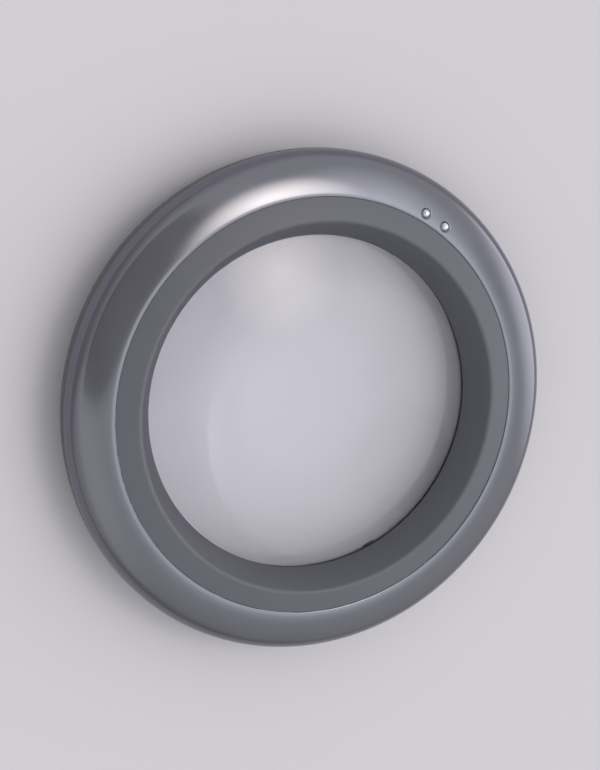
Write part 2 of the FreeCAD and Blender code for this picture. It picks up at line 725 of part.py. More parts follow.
def make_circuit_board():
    """Curved board under the contacts, held up by two screws."""
    body = new_body("circuit_board")
    corners = sector_corners("board_inner", "board_outer", "board_half_angle")
    pad(body, outline(body, "plan", corners, at=("0", "0", "board_bottom")), "plate", "board_thickness")
    holes = (
        ("stud_hole", polar("stud_place", "stud_angle", "-stud_angle"), "stud_shank + screw_gap"),
        ("screw_hole", polar("board_screw_place", "board_screw_angle", "-board_screw_angle"),
         "board_shank + screw_gap"),
    )
    for name, spots, radius in holes:
        sketch = discs(body, f"{name}_plan", spots, radius, at=("0", "0", "board_bottom"))
        pocket(body, sketch, name, "board_thickness", up=True)


def make_chip(label, turn, ring, length, width, height):
    """Small part soldered to the underside of the board."""
    body = new_body(label, turn)
    corners = box_corners(f"{ring} - {width} / 2", f"{ring} + {width} / 2",
                          f"-{length} / 2", f"{length} / 2")
    pad(body, outline(body, "plan", corners, at=("0", "0", "board_bottom")), "block", height, down=True)


def make_lamp(label, turn):
    """Clear round lamp, pushed into its holder from outside so that its dome looks at the page."""
    body = new_body(label, turn)
    back = "lamp_seat + lamp_flange_thickness"
    section = [
        Corner("0", "-lamp_peek", arc="lamp_radius"),
        Corner("lamp_radius", "lamp_radius - lamp_peek"),
        Corner("lamp_radius", "lamp_seat"),
        Corner("lamp_flange", "lamp_seat"),
        Corner("lamp_flange", back),
        Corner("0", back),
    ]
    sketch = outline(body, "section", section, plane="XZ_Plane", at=("lamp_across", "lamp_height", "0"),
                     tilt="90 deg - lamp_tilt")
    revolve(body, sketch, "lamp")


def make_lamp_legs(label, turn):
    """The two wire legs at the back of a lamp."""
    body = new_body(label, turn)
    body.AllowCompound = True
    place = {"at": ("lamp_across", "0", "lamp_height"), "tilt": "90 deg - lamp_tilt"}
    sketch = discs(body, "plan", [("0", "leg_spread"), ("0", "-leg_spread")], "leg_width / 2", **place)
    pad(body, sketch, "legs", "lamp_seat + lamp_flange_thickness + leg_length")
    inside = discs(body, "inside_plan", [("0", "0")], "lamp_flange + leg_width", **place)
    pocket(body, inside, "lamp_room", "lamp_seat + lamp_flange_thickness", up=True)


def make_button_cell(label, number):
    """Button cell on edge: a can, and a smaller raised cap on its negative side."""
    body = new_body(label, "control_angle + 180")
    near = f"(stack_half - {number} * cell_thickness)"
    spot = [("cell_place", "cell_height")]
    can = discs(body, "can_plan", spot, "cell_radius", plane="XZ_Plane", at=("0", "0", f"-{near}"))
    pad(body, can, "can", "cell_thickness - cell_cap_height")
    soften(body, "Fillet", "edges", "cell_rounding", [("cell_radius", "cell_height")])
    cap = discs(body, "cap_plan", spot, "cell_cap_radius", plane="XZ_Plane",
                at=("0", "0", f"-{near} + cell_thickness - 2 * cell_cap_height"))
    pad(body, cap, "cap", "2 * cell_cap_height")


def make_contact(label, profile):
    """Sprung metal strip at one end of the battery box, with a tab for the wire."""
    body = new_body(label, "control_angle + 180")
    sketch = outline(body, "profile", profile, plane="YZ_Plane",
                     at=("0", "0", "cell_place - strip_width / 2"))
    pad(body, sketch, "strip", "strip_width")


def make_positive_contact():
    """Flat strip that the can of the first cell touches."""
    face = "(stack_half + strip_gap)"
    back = "(stack_half + strip_gap + strip_thickness)"
    low = "cell_height - strip_width / 2"
    make_contact("positive_contact", [
        Corner(face, low),
        Corner(back, low),
        Corner(back, "tab_height"),
        Corner("tab_end", "tab_height"),
        Corner("tab_end", "tab_height + strip_thickness"),
        Corner(face, "tab_height + strip_thickness"),
    ])


def make_negative_contact():
    """Folded strip whose slanting leaf presses on the cap of the last cell."""
    face = "(-stack_half - strip_gap)"
    back = "(-stack_half - strip_gap - spring_room)"
    low = "cell_height - cell_cap_radius"
    make_contact("negative_contact", [
        Corner("-tab_end", "tab_height"),
        Corner(back, "tab_height"),
        Corner(back, low),
        Corner(f"{back} + 2 * strip_thickness", low),
        Corner(face, "cell_height"),
        Corner(face, "cell_height + 2 * strip_thickness"),
        Corner(f"{face} - strip_thickness", "cell_height + 2 * strip_thickness"),
        Corner(f"{face} - strip_thickness", "cell_height"),
        Corner(f"{back} + strip_thickness", f"{low} + strip_thickness"),
        Corner(f"{back} + strip_thickness", "tab_height + strip_thickness"),
        Corner("-tab_end", "tab_height + strip_thickness"),
    ])


def make_battery_door():
    """Flush door in the underside, with ribs that hold the cells and holes for two screws."""
    body = new_body("battery_door", "control_angle + 180")
    section = [
        Corner("door_inner", "base_height"),
        Corner("base_flat_radius", "base_height", arc="base_corner", smooth=True),
        Corner("door_outer", value("base_height + base_corner"
                                   " - sqrt(base_corner ^ 2 - (door_outer - base_flat_radius) ^ 2)")),
        Corner("door_outer", "door_top"),
        Corner("door_inner", "door_top"),
    ]
    sketch = outline(body, "section", section, plane="XZ_Plane")
    revolve(body, sketch, "plate", angle="2 * door_half_angle * 1 deg")
    for name, side in (("rib_in", "-"), ("rib_out", "+")):
        middle = f"cell_place {side} cell_radius / 3"
        rib = box_corners(f"{middle} - rib_width / 2", f"{middle} + rib_width / 2",
                          "-stack_half", "stack_half")
        sketch = outline(body, f"{name}_plan", rib, at=("0", "0", "door_top - boss_overlap"))
        pad(body, sketch, name, "rib_height + boss_overlap")
    spots = polar("cell_place", "door_screw_angle", "-door_screw_angle")
    holes = (
        ("head_bore", "door_head_radius + head_gap", "base_height + door_head_height"),
        ("shank_hole", "door_shank + head_gap", "door_top"),
    )
    for name, radius, top in holes:
        pocket(body, discs(body, f"{name}_plan", spots, radius), name, top, up=True)


def spot_on_ring(ring, angle, height):
    """Return a point from its radius, its angle from +X in degrees and its height."""
    turn = math.radians(angle)
    return Vector(ring * math.cos(turn), ring * math.sin(turn), height)


def wire_path(points):
    """Return straight runs joined by tangent arcs, each arc as large as its two runs allow."""
    edges = []
    here = points[0]
    for before, corner, after in zip(points, points[1:], points[2:]):
        back = (before - corner).normalize()
        ahead = (after - corner).normalize()
        cut = 0.45 * min((before - corner).Length, (after - corner).Length)
        half = back.getAngle(ahead) / 2
        radius = cut * math.tan(half)
        bisector = (back + ahead).normalize()
        middle = corner + bisector * (radius / math.sin(half) - radius)
        first, last = corner + back * cut, corner + ahead * cut
        edges.append(Part.LineSegment(here, first).toShape())
        edges.append(Part.Arc(first, middle, last).toShape())
        here = last
    edges.append(Part.LineSegment(here, points[-1]).toShape())
    return Part.Wire(edges)


def tube(label, points, diameter):
    """Return a round wire along the points, and print the radii of its bends."""
    path = wire_path(points)
    bends = [edge.Curve.Radius for edge in path.Edges if isinstance(edge.Curve, Part.Circle)]
    print(f"{label}: length {path.Length:.1f}, radii " + ", ".join(f"{bend:.1f}" for bend in bends))
    first = path.OrderedEdges[0]
    direction = first.tangentAt(first.FirstParameter)
    mouth = Part.Wire(Part.Circle(points[0], direction, diameter / 2).toShape())
    solid = path.makePipeShell([mouth], True, False)
    expected = path.Length * math.pi * diameter ** 2 / 4
    if abs(solid.Volume - expected) > 0.02 * expected:
        raise RuntimeError(f"wire volume {solid.Volume} is not {expected}")
    return solid


def add_wires(label, routes, diameter):
    """Add a node of one or two wires, turned to their place with the board."""
    tubes = [tube(label, points, diameter) for points in routes]
    item = doc.addObject("Part::Feature", label)
    item.Label = label
    item.Shape = tubes[0] if len(tubes) == 1 else Part.Compound(tubes)
    item.Placement = Placement(Vector(), Rotation(Vector(0, 0, 1), value("control_angle")))


def battery_wire(label, side):
    """Wire from a battery contact's tab round the ring to the board."""
    tab_angle = math.degrees(math.atan2(value("tab_end"), value("cell_place")))
    height = value("tab_height") - value("battery_wire") / 2
    under_board = value("board_bottom") - value("battery_wire") / 2
    ring = value("battery_wire_place")
    end_angle = value("board_half_angle") / 2
    points = [
        spot_on_ring(value("cell_place") / math.cos(math.radians(tab_angle)), tab_angle - 0.5, height),
        spot_on_ring(ring - value("tab_lead"), tab_angle + 5.0, height - 0.3),
        spot_on_ring(ring - 0.3, tab_angle + 12.0, under_board + 0.3),
    ]
    first_angle = tab_angle + 22.0
    count = 9
    step = (180.0 - end_angle - first_angle) / count
    points += [spot_on_ring(ring, first_angle + step * turn, under_board) for turn in range(count + 1)]
    add_wires(label, [[Vector(-spot.x, -side * spot.y, spot.z) for spot in points]], value("battery_wire"))


def leg_end():
    """Return how far out and how high the legs of a lamp end."""
    tilt = math.radians(value("lamp_tilt"))
    reach = value("lamp_seat") + value("lamp_flange_thickness") + value("leg_length")
    return value("lamp_across") + reach * math.cos(tilt), value("lamp_height") + reach * math.sin(tilt)


def lamp_wire(label, side):
    """Pair of wires from a lamp's legs round the ring to the board."""
    lamp_angle = 360.0 / value("lamp_count")
    leg_across, leg_height = leg_end()
    thickness = value("lamp_wire")
    under_board = value("board_bottom") - thickness / 2
    ring = value("lamp_wire_place")
    end_angle = value("board_half_angle") / 2
    routes = []
    for lane, leg in ((0, -1), (1, 1)):
        lower = lane * (thickness + 0.1)
        leg_angle = lamp_angle - leg * math.degrees(value("leg_spread") / leg_across)
        points = [
            spot_on_ring(leg_across + 0.2, leg_angle, leg_height),
            spot_on_ring(leg_across + value("leg_lead"), leg_angle - 1.0, leg_height + 0.4 - lower / 2),
            spot_on_ring(ring - 0.2, lamp_angle - 6.0, leg_height + 1.1 - lower),
        ]
        first_angle = lamp_angle - 14.0
        count = 6
        step = (first_angle - end_angle) / count
        points += [
            spot_on_ring(ring, first_angle - step * turn, under_board - lower) for turn in range(count + 1)
        ]
        routes.append([Vector(spot.x, side * spot.y, spot.z) for spot in points])
    add_wires(label, routes, thickness)


def short_lamp_wires():
    """Pair of short wires from the legs of the lamp under the board up to the board."""
    leg_across, leg_height = leg_end()
    tilt = math.radians(value("lamp_tilt"))
    straight = value("leg_rise")
    bend_across = leg_across + straight * math.cos(tilt)
    routes = []
    for side in (-1, 1):
        beside = side * value("leg_spread")
        routes.append([
            Vector(leg_across, beside, leg_height),
            Vector(bend_across, beside, leg_height + straight * math.sin(tilt)),
            Vector(bend_across, beside, value("board_bottom")),
        ])
    add_wires("lamp_wire_short", routes, value("lamp_wire"))


def make_all():
    """Make every sub-part."""
    make_top_shell()
    make_inner_bezel()
    make_lens()
    make_base_shell()
    for number in range(int(value("screw_count"))):
        turn = f"control_angle + screw_angle + {number} * 360 / screw_count"
        make_foot_pad(f"foot_pad_{number + 1}", turn)
        make_screw(f"case_screw_{number + 1}", turn, "screw_place", "case_head_top", "case_head_radius",
                   "case_head_height", "case_shank", "case_screw_length")
    for number, sign in ((1, "+"), (2, "-")):
        make_touch_stud(f"touch_stud_{number}", f"control_angle {sign} stud_angle")
        make_screw(f"board_screw_{number}", f"control_angle {sign} board_screw_angle",
                   "board_screw_place", "board_bottom", "board_head_radius", "board_head_height",
                   "board_shank", "board_screw_length")
        make_screw(f"door_screw_{number}", f"control_angle + 180 {sign} door_screw_angle", "cell_place",
                   "(base_height + door_head_height)", "door_head_radius", "(door_head_height - screw_gap)",
                   "door_shank", "door_screw_length")
    make_circuit_board()
    make_chip("touch_chip", "control_angle", "chip_place", "chip_length", "chip_width", "chip_height")
    for number, shift in enumerate((-1, 0, 1), 1):
        make_chip(f"resistor_{number}", f"control_angle + {shift} * resistor_angle", "resistor_place",
                  "resistor_length", "resistor_width", "resistor_height")
    for number in range(int(value("lamp_count"))):
        turn = f"control_angle + {number} * 360 / lamp_count"
        make_lamp(f"lamp_{number + 1}", turn)
        make_lamp_legs(f"lamp_legs_{number + 1}", turn)
    for number in range(int(value("cell_count"))):
        make_button_cell(f"button_cell_{number + 1}", number)
    make_positive_contact()
    make_negative_contact()
    make_battery_door()
    battery_wire("battery_wire_red", 1)
    battery_wire("battery_wire_black", -1)
    lamp_wire("lamp_wire_left", 1)
    lamp_wire("lamp_wire_right", -1)
    short_lamp_wires()


def write_all():
    """Check every object of the document and write one file for each sub-part."""
    doc.recompute()
    for item in doc.Objects:
        if {"Invalid", "Error"} & set(item.State):
            raise RuntimeError(f"{item.Label} failed: {item.State}")
    nodes = [item for item in doc.Objects if item.TypeId in ("PartDesign::Body", "Part::Feature")]
    for node in nodes:
        wanted = 2 if node.Label.startswith(PAIRS) else 1
        if node.Shape.isNull() or not node.Shape.isValid() or len(node.Shape.Solids) != wanted:
            raise RuntimeError(f"{node.Label} is not {wanted} valid solids")
    os.makedirs("parts", exist_ok=True)
    for node in nodes:
        node.Shape.exportStep(f"parts/{node.Label}.step")
        box = node.Shape.BoundBox
        print(f"{node.Label}: {len(node.Shape.Solids)} solids, {node.Shape.Volume:.1f} mm3, "
              f"z {box.ZMin:.2f} to {box.ZMax:.2f}")


make_all()
write_all()
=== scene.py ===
# Illuminated low vision magnifier: the visible pieces, built around its measured solids.
#
# Lengths are metres in the frame of the solids: +Z is the lens axis, and the magnifier stands on
# the plane where Z is 0.

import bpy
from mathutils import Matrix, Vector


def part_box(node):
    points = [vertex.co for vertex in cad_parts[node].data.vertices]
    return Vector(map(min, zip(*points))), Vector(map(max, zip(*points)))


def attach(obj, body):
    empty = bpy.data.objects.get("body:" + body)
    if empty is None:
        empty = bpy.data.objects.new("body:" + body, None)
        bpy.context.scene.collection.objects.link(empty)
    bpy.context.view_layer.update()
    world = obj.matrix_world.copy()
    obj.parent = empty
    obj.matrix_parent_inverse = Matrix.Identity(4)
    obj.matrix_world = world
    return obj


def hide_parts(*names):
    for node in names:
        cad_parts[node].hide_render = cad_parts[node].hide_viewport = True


bl_info = {
    "name": "Low vision magnifier",
    "version": (1, 0, 0),
    "blender": (4, 5, 0),
    "location": "View3D > Sidebar > Magnifier",
    "description": "Builds the visible pieces of a round stand magnifier with lamps",
    "category": "Add Mesh",
}

import math

import bpy
from mathutils import Matrix, Vector

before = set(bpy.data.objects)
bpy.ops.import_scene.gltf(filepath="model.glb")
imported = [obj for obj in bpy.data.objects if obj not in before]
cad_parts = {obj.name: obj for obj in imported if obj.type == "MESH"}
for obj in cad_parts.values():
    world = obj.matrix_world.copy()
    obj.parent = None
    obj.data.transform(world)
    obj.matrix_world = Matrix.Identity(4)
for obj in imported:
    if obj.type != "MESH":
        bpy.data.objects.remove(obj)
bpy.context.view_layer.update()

MM = 0.001
FULL_TURN = 2 * math.pi
MERGE_DISTANCE = 1e-6

# Steps round a turned piece: more where its edge is seen larger.
RING_STEPS = 288
CELL_STEPS = 96
SMALL_STEPS = 64
LAMP_STEPS = 48
SCREW_STEPS = 48
CUP_STEPS = 32

# Degrees between two faces past which the edge between them stays hard.
HARD_EDGE = 35.0
LENS_HARD_EDGE = 12.0

# How many there are of each repeated piece.
CONTACT_COUNT = 2
CASE_SCREW_COUNT = 4
PAD_COUNT = 4
LAMP_COUNT = 3
CELL_COUNT = 3


# Sizes and colours.

def length(name, description, millimetres):
    """Return a property for a length, given in millimetres and kept in metres."""
    return bpy.props.FloatProperty(name=name, description=description, default=millimetres * MM,
                                   precision=5, unit="LENGTH")


def linear(code):
    """Return the linear colour of an sRGB hex code."""
    parts = [int(code[place:place + 2], 16) / 255 for place in (1, 3, 5)]
    return tuple(part / 12.92 if part <= 0.04045 else ((part + 0.055) / 1.055) ** 2.4
                 for part in parts) + (1.0,)


def colour(name, description, code):
    """Return a property for a colour, given as an sRGB hex code."""
    return bpy.props.FloatVectorProperty(name=name, description=description, default=linear(code),
                                         subtype="COLOR", size=4, min=0.0, max=1.0)


class MagnifierSizes(bpy.types.PropertyGroup):
    """Sizes of the turned pieces: the solids' own, but for the bezel's outer edge and small details."""

    rim_radius: length("Rim radius", "Largest radius of the glossy ring", 50.0)
    rim_height: length("Rim height", "Height of the joint between the two shells", 9.3)
    rim_chamfer: length("Rim chamfer", "Bevel along the joint between the shells", 0.15)
    shoulder_radius: length("Shoulder radius", "Rounding of the glossy ring's outside", 4.0)
    dome_radius: length("Dome radius", "Rounding of the glossy ring's top", 26.0)
    crease_radius: length("Crease radius", "Radius of the ring's inner edge", 41.3)
    crease_height: length("Crease height", "Height of the ring's inner edge", 14.8)
    crease_rounding: length("Crease rounding", "Rounding of the ring's inner edge", 0.5)
    shell_wall: length("Shell wall", "Wall thickness of the shells", 1.5)
    skirt_wall: length("Skirt wall", "Wall below the ring's inner edge", 1.3)
    ledge_top: length("Ledge top", "Height of the ledge under the bezel", 12.9)
    ledge_thickness: length("Ledge thickness", "Thickness of that ledge", 1.0)
    ledge_width: length("Ledge width", "How far the ledge reaches under the bezel", 1.7)
    lip_groove: length("Lip groove", "Height of the groove for the lower shell", 1.25)
    case_joint: length("Screw boss foot", "Height of the foot of the screw bosses", 6.0)
    boss_radius: length("Screw boss", "Radius of the four screw bosses", 2.4)
    pilot_radius: length("Pilot hole", "Radius of the holes in the screw bosses", 1.0)
    dish_depth: length("Contact dish", "Depth and width of the dish round each metal contact", 0.38)
    stud_sink: length("Contact sink", "Depth of a contact's seat below the crease", 1.05)
    stud_radius: length("Contact radius", "Radius of a metal contact's head", 0.9)
    stud_shank: length("Contact shank", "Radius of a metal contact's shank", 0.55)
    stud_skirt: length("Contact skirt", "Straight side of a metal contact's head", 0.1)
    crest_radius: length("Crest radius", "Radius of the bezel's highest edge", 36.7)
    crest_height: length("Crest height", "Height of that edge before it is rounded", 16.2)
    crest_rounding: length("Crest rounding", "Rounding of that edge", 0.8)
    bezel_outer: length("Bezel outer radius", "Outer radius of the bezel", 41.29)
    bezel_edge: length("Bezel edge height", "Height of the bezel's outer edge", 14.6)
    bezel_rounding: length("Bezel rounding", "Rounding of the bezel's other edges", 0.3)
    view_radius: length("View radius", "Radius of the clear view", 33.1)
    lens_radius: length("Lens radius", "Radius of the lens with its flange", 35.0)
    lens_optic: length("Lens optic radius", "Radius of the curved part of the lens", 33.0)
    lens_seat: length("Lens seat", "Height of the underside of the flange", 7.7)
    lens_edge: length("Lens edge", "Thickness of the flange", 2.0)
    lens_curve: length("Lens curve", "Radius of both faces of the lens", 122.0)
    lens_break: length("Lens edge break", "Small bevel round the flange", 0.15)
    lamp_radius: length("Lamp radius", "Radius of a lamp", 1.5)
    lamp_flange: length("Lamp flange", "Radius of a lamp's flange", 1.9)
    cell_radius: length("Cell radius", "Radius of a button cell", 3.95)
    cell_thickness: length("Cell thickness", "Thickness of a button cell with its cap", 3.6)
    cell_cap: length("Cell cap", "Radius of a cell's cap", 3.2)
    cell_cap_height: length("Cell cap height", "How far the cap stands out", 0.25)


class MagnifierColours(bpy.types.PropertyGroup):
    """Colours of the finishes."""

    gunmetal: colour("Gunmetal", "Metallised coat of the ring", "#777780")
    bezel_grey: colour("Bezel grey", "Matt plastic of the bezel", "#5B5C66")
    shell_grey: colour("Lower shell grey", "Matt plastic of the lower shell", "#4A4B52")
    rubber_grey: colour("Rubber grey", "Foot pads", "#2B2B2E")
    nickel: colour("Nickel", "Metal contacts", "#D8D9DC")
    zinc: colour("Zinc", "Screws", "#B9BCC0")
    cell_steel: colour("Cell steel", "Cans of the cells", "#C6C7C9")
    spring: colour("Spring metal", "Strips at the ends of the battery box", "#BDB7A6")
    mask_green: colour("Board green", "Lacquer of the circuit board", "#1E5B38")
    trace_green: colour("Trace green", "Lacquer over copper", "#2F7A4B")
    chip_black: colour("Chip black", "Bodies of the chip and resistors", "#1C1C1E")
    red: colour("Red wire", "Red insulation", "#A81E22")
    black: colour("Black wire", "Black insulation", "#1A1A1C")
    white: colour("White wire", "White insulation", "#D9D7D2")


class StageSettings(bpy.types.PropertyGroup):
    """Camera, lamps and floor."""

    floor: colour("Floor", "Plain floor", "#CCCAD1")
    camera_place: bpy.props.FloatVectorProperty(
        name="Camera place", description="Where the camera stands", unit="LENGTH", precision=5,
        default=(-0.16445, 0.10514, 0.40885))
    camera_turn: bpy.props.FloatVectorProperty(
        name="Camera turn", description="How the camera is turned", subtype="EULER",
        default=tuple(math.radians(angle) for angle in (-13.0764, -22.2450, -0.4302)))
    camera_lens: bpy.props.FloatProperty(
        name="Focal length", description="Focal length in millimetres", unit="CAMERA",
        default=105.97)
    room_strength: bpy.props.FloatProperty(
        name="Room light", description="Strength of the light from all round", default=0.55)
    key_strength: bpy.props.FloatProperty(
        name="Key lamp", description="Power of the key lamp", unit="POWER", default=0.155)
    fill_strength: bpy.props.FloatProperty(
        name="Fill lamp", description="Power of the fill lamp", unit="POWER", default=0.07)


# Mesh helpers.

def deselect():
    """Leave object mode ready for a new piece."""
    bpy.ops.object.select_all(action="DESELECT")


def arc(centre, radius, first, last, count):
    """Return the points of an arc, its ends included, at angles in degrees."""
    points = []
    for step in range(count + 1):
        angle = math.radians(first + (last - first) * step / count)
        points.append((centre[0] + radius * math.cos(angle), centre[1] + radius * math.sin(angle)))
    return points


def rounded(before, corner, after, radius, count=6):
    """Return the points of an arc that rounds a corner between two straight sides."""
    corner = Vector(corner)
    back = (Vector(before) - corner).normalized()
    ahead = (Vector(after) - corner).normalized()
    half = back.angle(ahead) / 2
    centre = corner + (back + ahead).normalized() * (radius / math.sin(half))
    first = corner + back * (radius / math.tan(half)) - centre
    last = corner + ahead * (radius / math.tan(half)) - centre
    start = math.atan2(first.y, first.x)
    sweep = (math.atan2(last.y, last.x) - start + math.pi) % FULL_TURN - math.pi
    return [tuple(centre + radius * Vector((math.cos(start + sweep * step / count),
                                            math.sin(start + sweep * step / count))))
            for step in range(count + 1)]


def rounded_loop(corners):
    """Return a closed outline from corners of radius, height and rounding."""
    points = []
    for index, (across, up, rounding) in enumerate(corners):
        if rounding:
            before, after = corners[index - 1], corners[(index + 1) % len(corners)]
            points += rounded(before[:2], (across, up), after[:2], rounding)
        else:
            points.append((across, up))
    return points


def turned(name, outline, steps, foot=(0.0, 0.0), closed=True, hard_edge=HARD_EDGE):
    """Draw an outline of radii and heights point by point, and spin it about an upright axis."""
    deselect()
    (across, up), *others = outline
    bpy.ops.mesh.primitive_plane_add(size=MM, location=(foot[0] + across, foot[1], up))
    piece = bpy.context.object
    piece.name = piece.data.name = name
    bpy.ops.object.mode_set(mode="EDIT")
    bpy.ops.mesh.merge(type="CENTER")
    for next_across, next_up in others + ([outline[0]] if closed else []):
        step = (next_across - across, 0.0, next_up - up)
        bpy.ops.mesh.extrude_vertices_move(TRANSFORM_OT_translate={"value": step})
        across, up = next_across, next_up
    bpy.ops.mesh.select_all(action="SELECT")
    bpy.ops.mesh.spin(steps=steps, angle=FULL_TURN, center=(foot[0], foot[1], 0.0), axis=(0, 0, 1))
    bpy.ops.mesh.select_all(action="SELECT")
    bpy.ops.mesh.remove_doubles(threshold=MERGE_DISTANCE)
    bpy.ops.mesh.normals_make_consistent(inside=False)
    bpy.ops.object.mode_set(mode="OBJECT")
    bpy.ops.object.transform_apply()
    bpy.ops.object.shade_smooth_by_angle(angle=math.radians(hard_edge))
    return piece


def block(name, size, place, bevel, taper=1.0):
    """Return a box with bevelled edges that may narrow towards its top."""
    deselect()
    bpy.ops.mesh.primitive_cube_add(size=1.0, location=place, scale=size)
    piece = bpy.context.object
    piece.name = piece.data.name = name
    bpy.ops.object.transform_apply()
    bpy.ops.object.mode_set(mode="EDIT")
    bpy.ops.mesh.select_mode(type="VERT")
    bpy.ops.mesh.select_all(action="DESELECT")
    bpy.ops.object.mode_set(mode="OBJECT")
    for vertex in piece.data.vertices:
        vertex.select = vertex.co.z > place[2]
    bpy.ops.object.mode_set(mode="EDIT")
    bpy.ops.transform.resize(value=(taper, taper, 1.0), center_override=place)
    bpy.ops.mesh.select_all(action="SELECT")
    bpy.ops.mesh.bevel(offset=bevel, segments=2, affect="EDGES")
    bpy.ops.object.mode_set(mode="OBJECT")
    bpy.ops.object.shade_smooth_by_angle(angle=math.radians(HARD_EDGE))
    return piece


def apply_modifier(piece, kind, **settings):
    """Add a modifier with its settings, and apply it."""
    deselect()
    bpy.context.view_layer.objects.active = piece
    piece.select_set(True)
    modifier = piece.modifiers.new(kind.title(), kind)
    for name, setting in settings.items():
        setattr(modifier, name, setting)
    bpy.ops.object.modifier_apply(modifier=modifier.name)


def cut(piece, cutters):
    """Cut other shapes out of a piece, and delete them."""
    for cutter in cutters:
        apply_modifier(piece, "BOOLEAN", object=cutter, operation="DIFFERENCE", solver="EXACT")
        bpy.data.objects.remove(cutter)


def joined(piece, others):
    """Join other shapes into a piece as loose parts."""
    deselect()
    for other in others:
        other.select_set(True)
    piece.select_set(True)
    bpy.context.view_layer.objects.active = piece
    bpy.ops.object.join()
    return piece


def copied(piece, name, matrix):
    """Return a copy of a piece with a mesh of its own, moved by a matrix."""
    copy = bpy.data.objects.new(name, piece.data.copy())
    copy.data.name = name
    bpy.context.scene.collection.objects.link(copy)
    copy.data.transform(matrix)
    return copy


def node_middle(node):
    """Return the middle of a measured solid's box."""
    low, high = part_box(node)
    return (low + high) / 2


def finish(piece, material, slot, body, *nodes):
    """Give a piece its material, its body and the solids that it stands for. The slot is not used."""
    piece.data.materials.clear()
    piece.data.materials.append(material)
    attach(piece, body)
    if nodes:
        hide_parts(*nodes)


def set_out(shape, stem, node_stem, count, material, slot, body, turn=0.0):
    """Put a copy of a shape at each of its numbered solids, each turned further, and delete the shape."""
    for number in range(1, count + 1):
        node = f"{node_stem}_{number}"
        middle = node_middle(node)
        place = Matrix.Translation((middle.x, middle.y, 0)) @ Matrix.Rotation(number * turn, 4, "Z")
        finish(copied(shape, f"{stem}_{number}", place), material, slot, body, node)
    bpy.data.objects.remove(shape)


def paint(node, material):
    """Give a measured solid a better material."""
    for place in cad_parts[node].material_slots:
        place.material = material


# Materials.

def add_node(tree, kind, inputs=None, **settings):
    """Add a node; each input is a value, or the output of another node that is linked to it."""
    made = tree.nodes.new(kind)
    for name, setting in settings.items():
        setattr(made, name, setting)
    for name, given in (inputs or {}).items():
        if isinstance(given, bpy.types.NodeSocket):
            tree.links.new(given, made.inputs[name])
        else:
            made.inputs[name].default_value = given
    return made


def new_material(name):
    """Return a new material and its empty node tree."""
    material = bpy.data.materials.new(name)
    material.use_nodes = True
    material.node_tree.nodes.clear()
    return material, material.node_tree


def object_place(tree, stretch=(1, 1, 1)):
    """Return the place on the piece, stretched for patterns that run one way."""
    place = add_node(tree, "ShaderNodeTexCoord").outputs["Object"]
    return add_node(tree, "ShaderNodeMapping", {"Vector": place, "Scale": stretch}).outputs["Vector"]


def noise(tree, place, size, detail=3.0):
    """Return a noise whose blotches have the given size in metres."""
    inputs = {"Vector": place, "Scale": 1 / size, "Detail": detail}
    return add_node(tree, "ShaderNodeTexNoise", inputs).outputs["Fac"]


def spread(tree, pattern, low, high):
    """Spread a noise, most of which lies between 0.3 and 0.7, between two values."""
    inputs = {"Value": pattern, "From Min": 0.3, "From Max": 0.7, "To Min": low, "To Max": high}
    return add_node(tree, "ShaderNodeMapRange", inputs).outputs["Result"]


def made_of(name, base, roughness, patch, grain, depth, mottle=0.04, stretch=(1, 1, 1), **sockets):
    """Return a material with blotches of gloss and colour and a fine grain.

    The roughness is a lowest and a highest value. The patch is how large the blotches are, and it,
    the grain and the grain's depth are in metres.
    """
    material, tree = new_material(name)
    place = object_place(tree, stretch)
    blotches = noise(tree, place, patch)
    value = spread(tree, blotches, 1 - mottle, 1 + mottle)
    tone = add_node(tree, "ShaderNodeHueSaturation", {"Color": base, "Value": value})
    relief = noise(tree, place, grain, detail=5.0)
    bump = add_node(tree, "ShaderNodeBump", {"Height": relief, "Distance": depth})
    inputs = {"Base Color": tone.outputs["Color"], "Roughness": spread(tree, blotches, *roughness),
              "Normal": bump.outputs["Normal"]}
    inputs.update({socket.replace("_", " "): given for socket, given in sockets.items()})
    shader = add_node(tree, "ShaderNodeBsdfPrincipled", inputs)
    add_node(tree, "ShaderNodeOutputMaterial", {"Surface": shader.outputs["BSDF"]})
    return material


def gunmetal_plated_abs(colours):
    """ABS plated with dark nickel: a mirror, faintly wavy from the moulding under it."""
    return made_of("gunmetal_plated_abs", colours.gunmetal, roughness=(0.10, 0.15), patch=14 * MM,
                   grain=3.5 * MM, depth=0.004 * MM, mottle=0.02, Metallic=1.0)


def spark_eroded_abs(colours):
    """ABS from a spark-eroded mould: matt, with a fine even grain.

    The grain is drawn at 0.3 mm, about twice its size, so that it shows.
    """
    return made_of("spark_eroded_abs", colours.bezel_grey, roughness=(0.40, 0.46), patch=9 * MM,
                   grain=0.3 * MM, depth=0.008 * MM, mottle=0.02)


def moulded_abs(colours):
    """Dark ABS of the lower shell and its door: satin, with a fine grain.

    The grain is drawn at 0.35 mm, about twice its size, so that it shows.
    """
    return made_of("moulded_abs", colours.shell_grey, roughness=(0.38, 0.48), patch=9 * MM,
                   grain=0.35 * MM, depth=0.03 * MM, mottle=0.03)


def silicone_rubber(colours):
    """Silicone rubber: dull and a little dusty, without any mirror."""
    return made_of("silicone_rubber", colours.rubber_grey, roughness=(0.72, 0.85), patch=1.5 * MM,
                   grain=0.2 * MM, depth=0.01 * MM, mottle=0.12)


def polished_nickel(colours):
    """Nickel-plated brass pins, polished by fingers: a bright mirror with faint smudges."""
    return made_of("polished_nickel", colours.nickel, roughness=(0.08, 0.16), patch=0.5 * MM,
                   grain=0.1 * MM, depth=0.0004 * MM, Metallic=1.0)


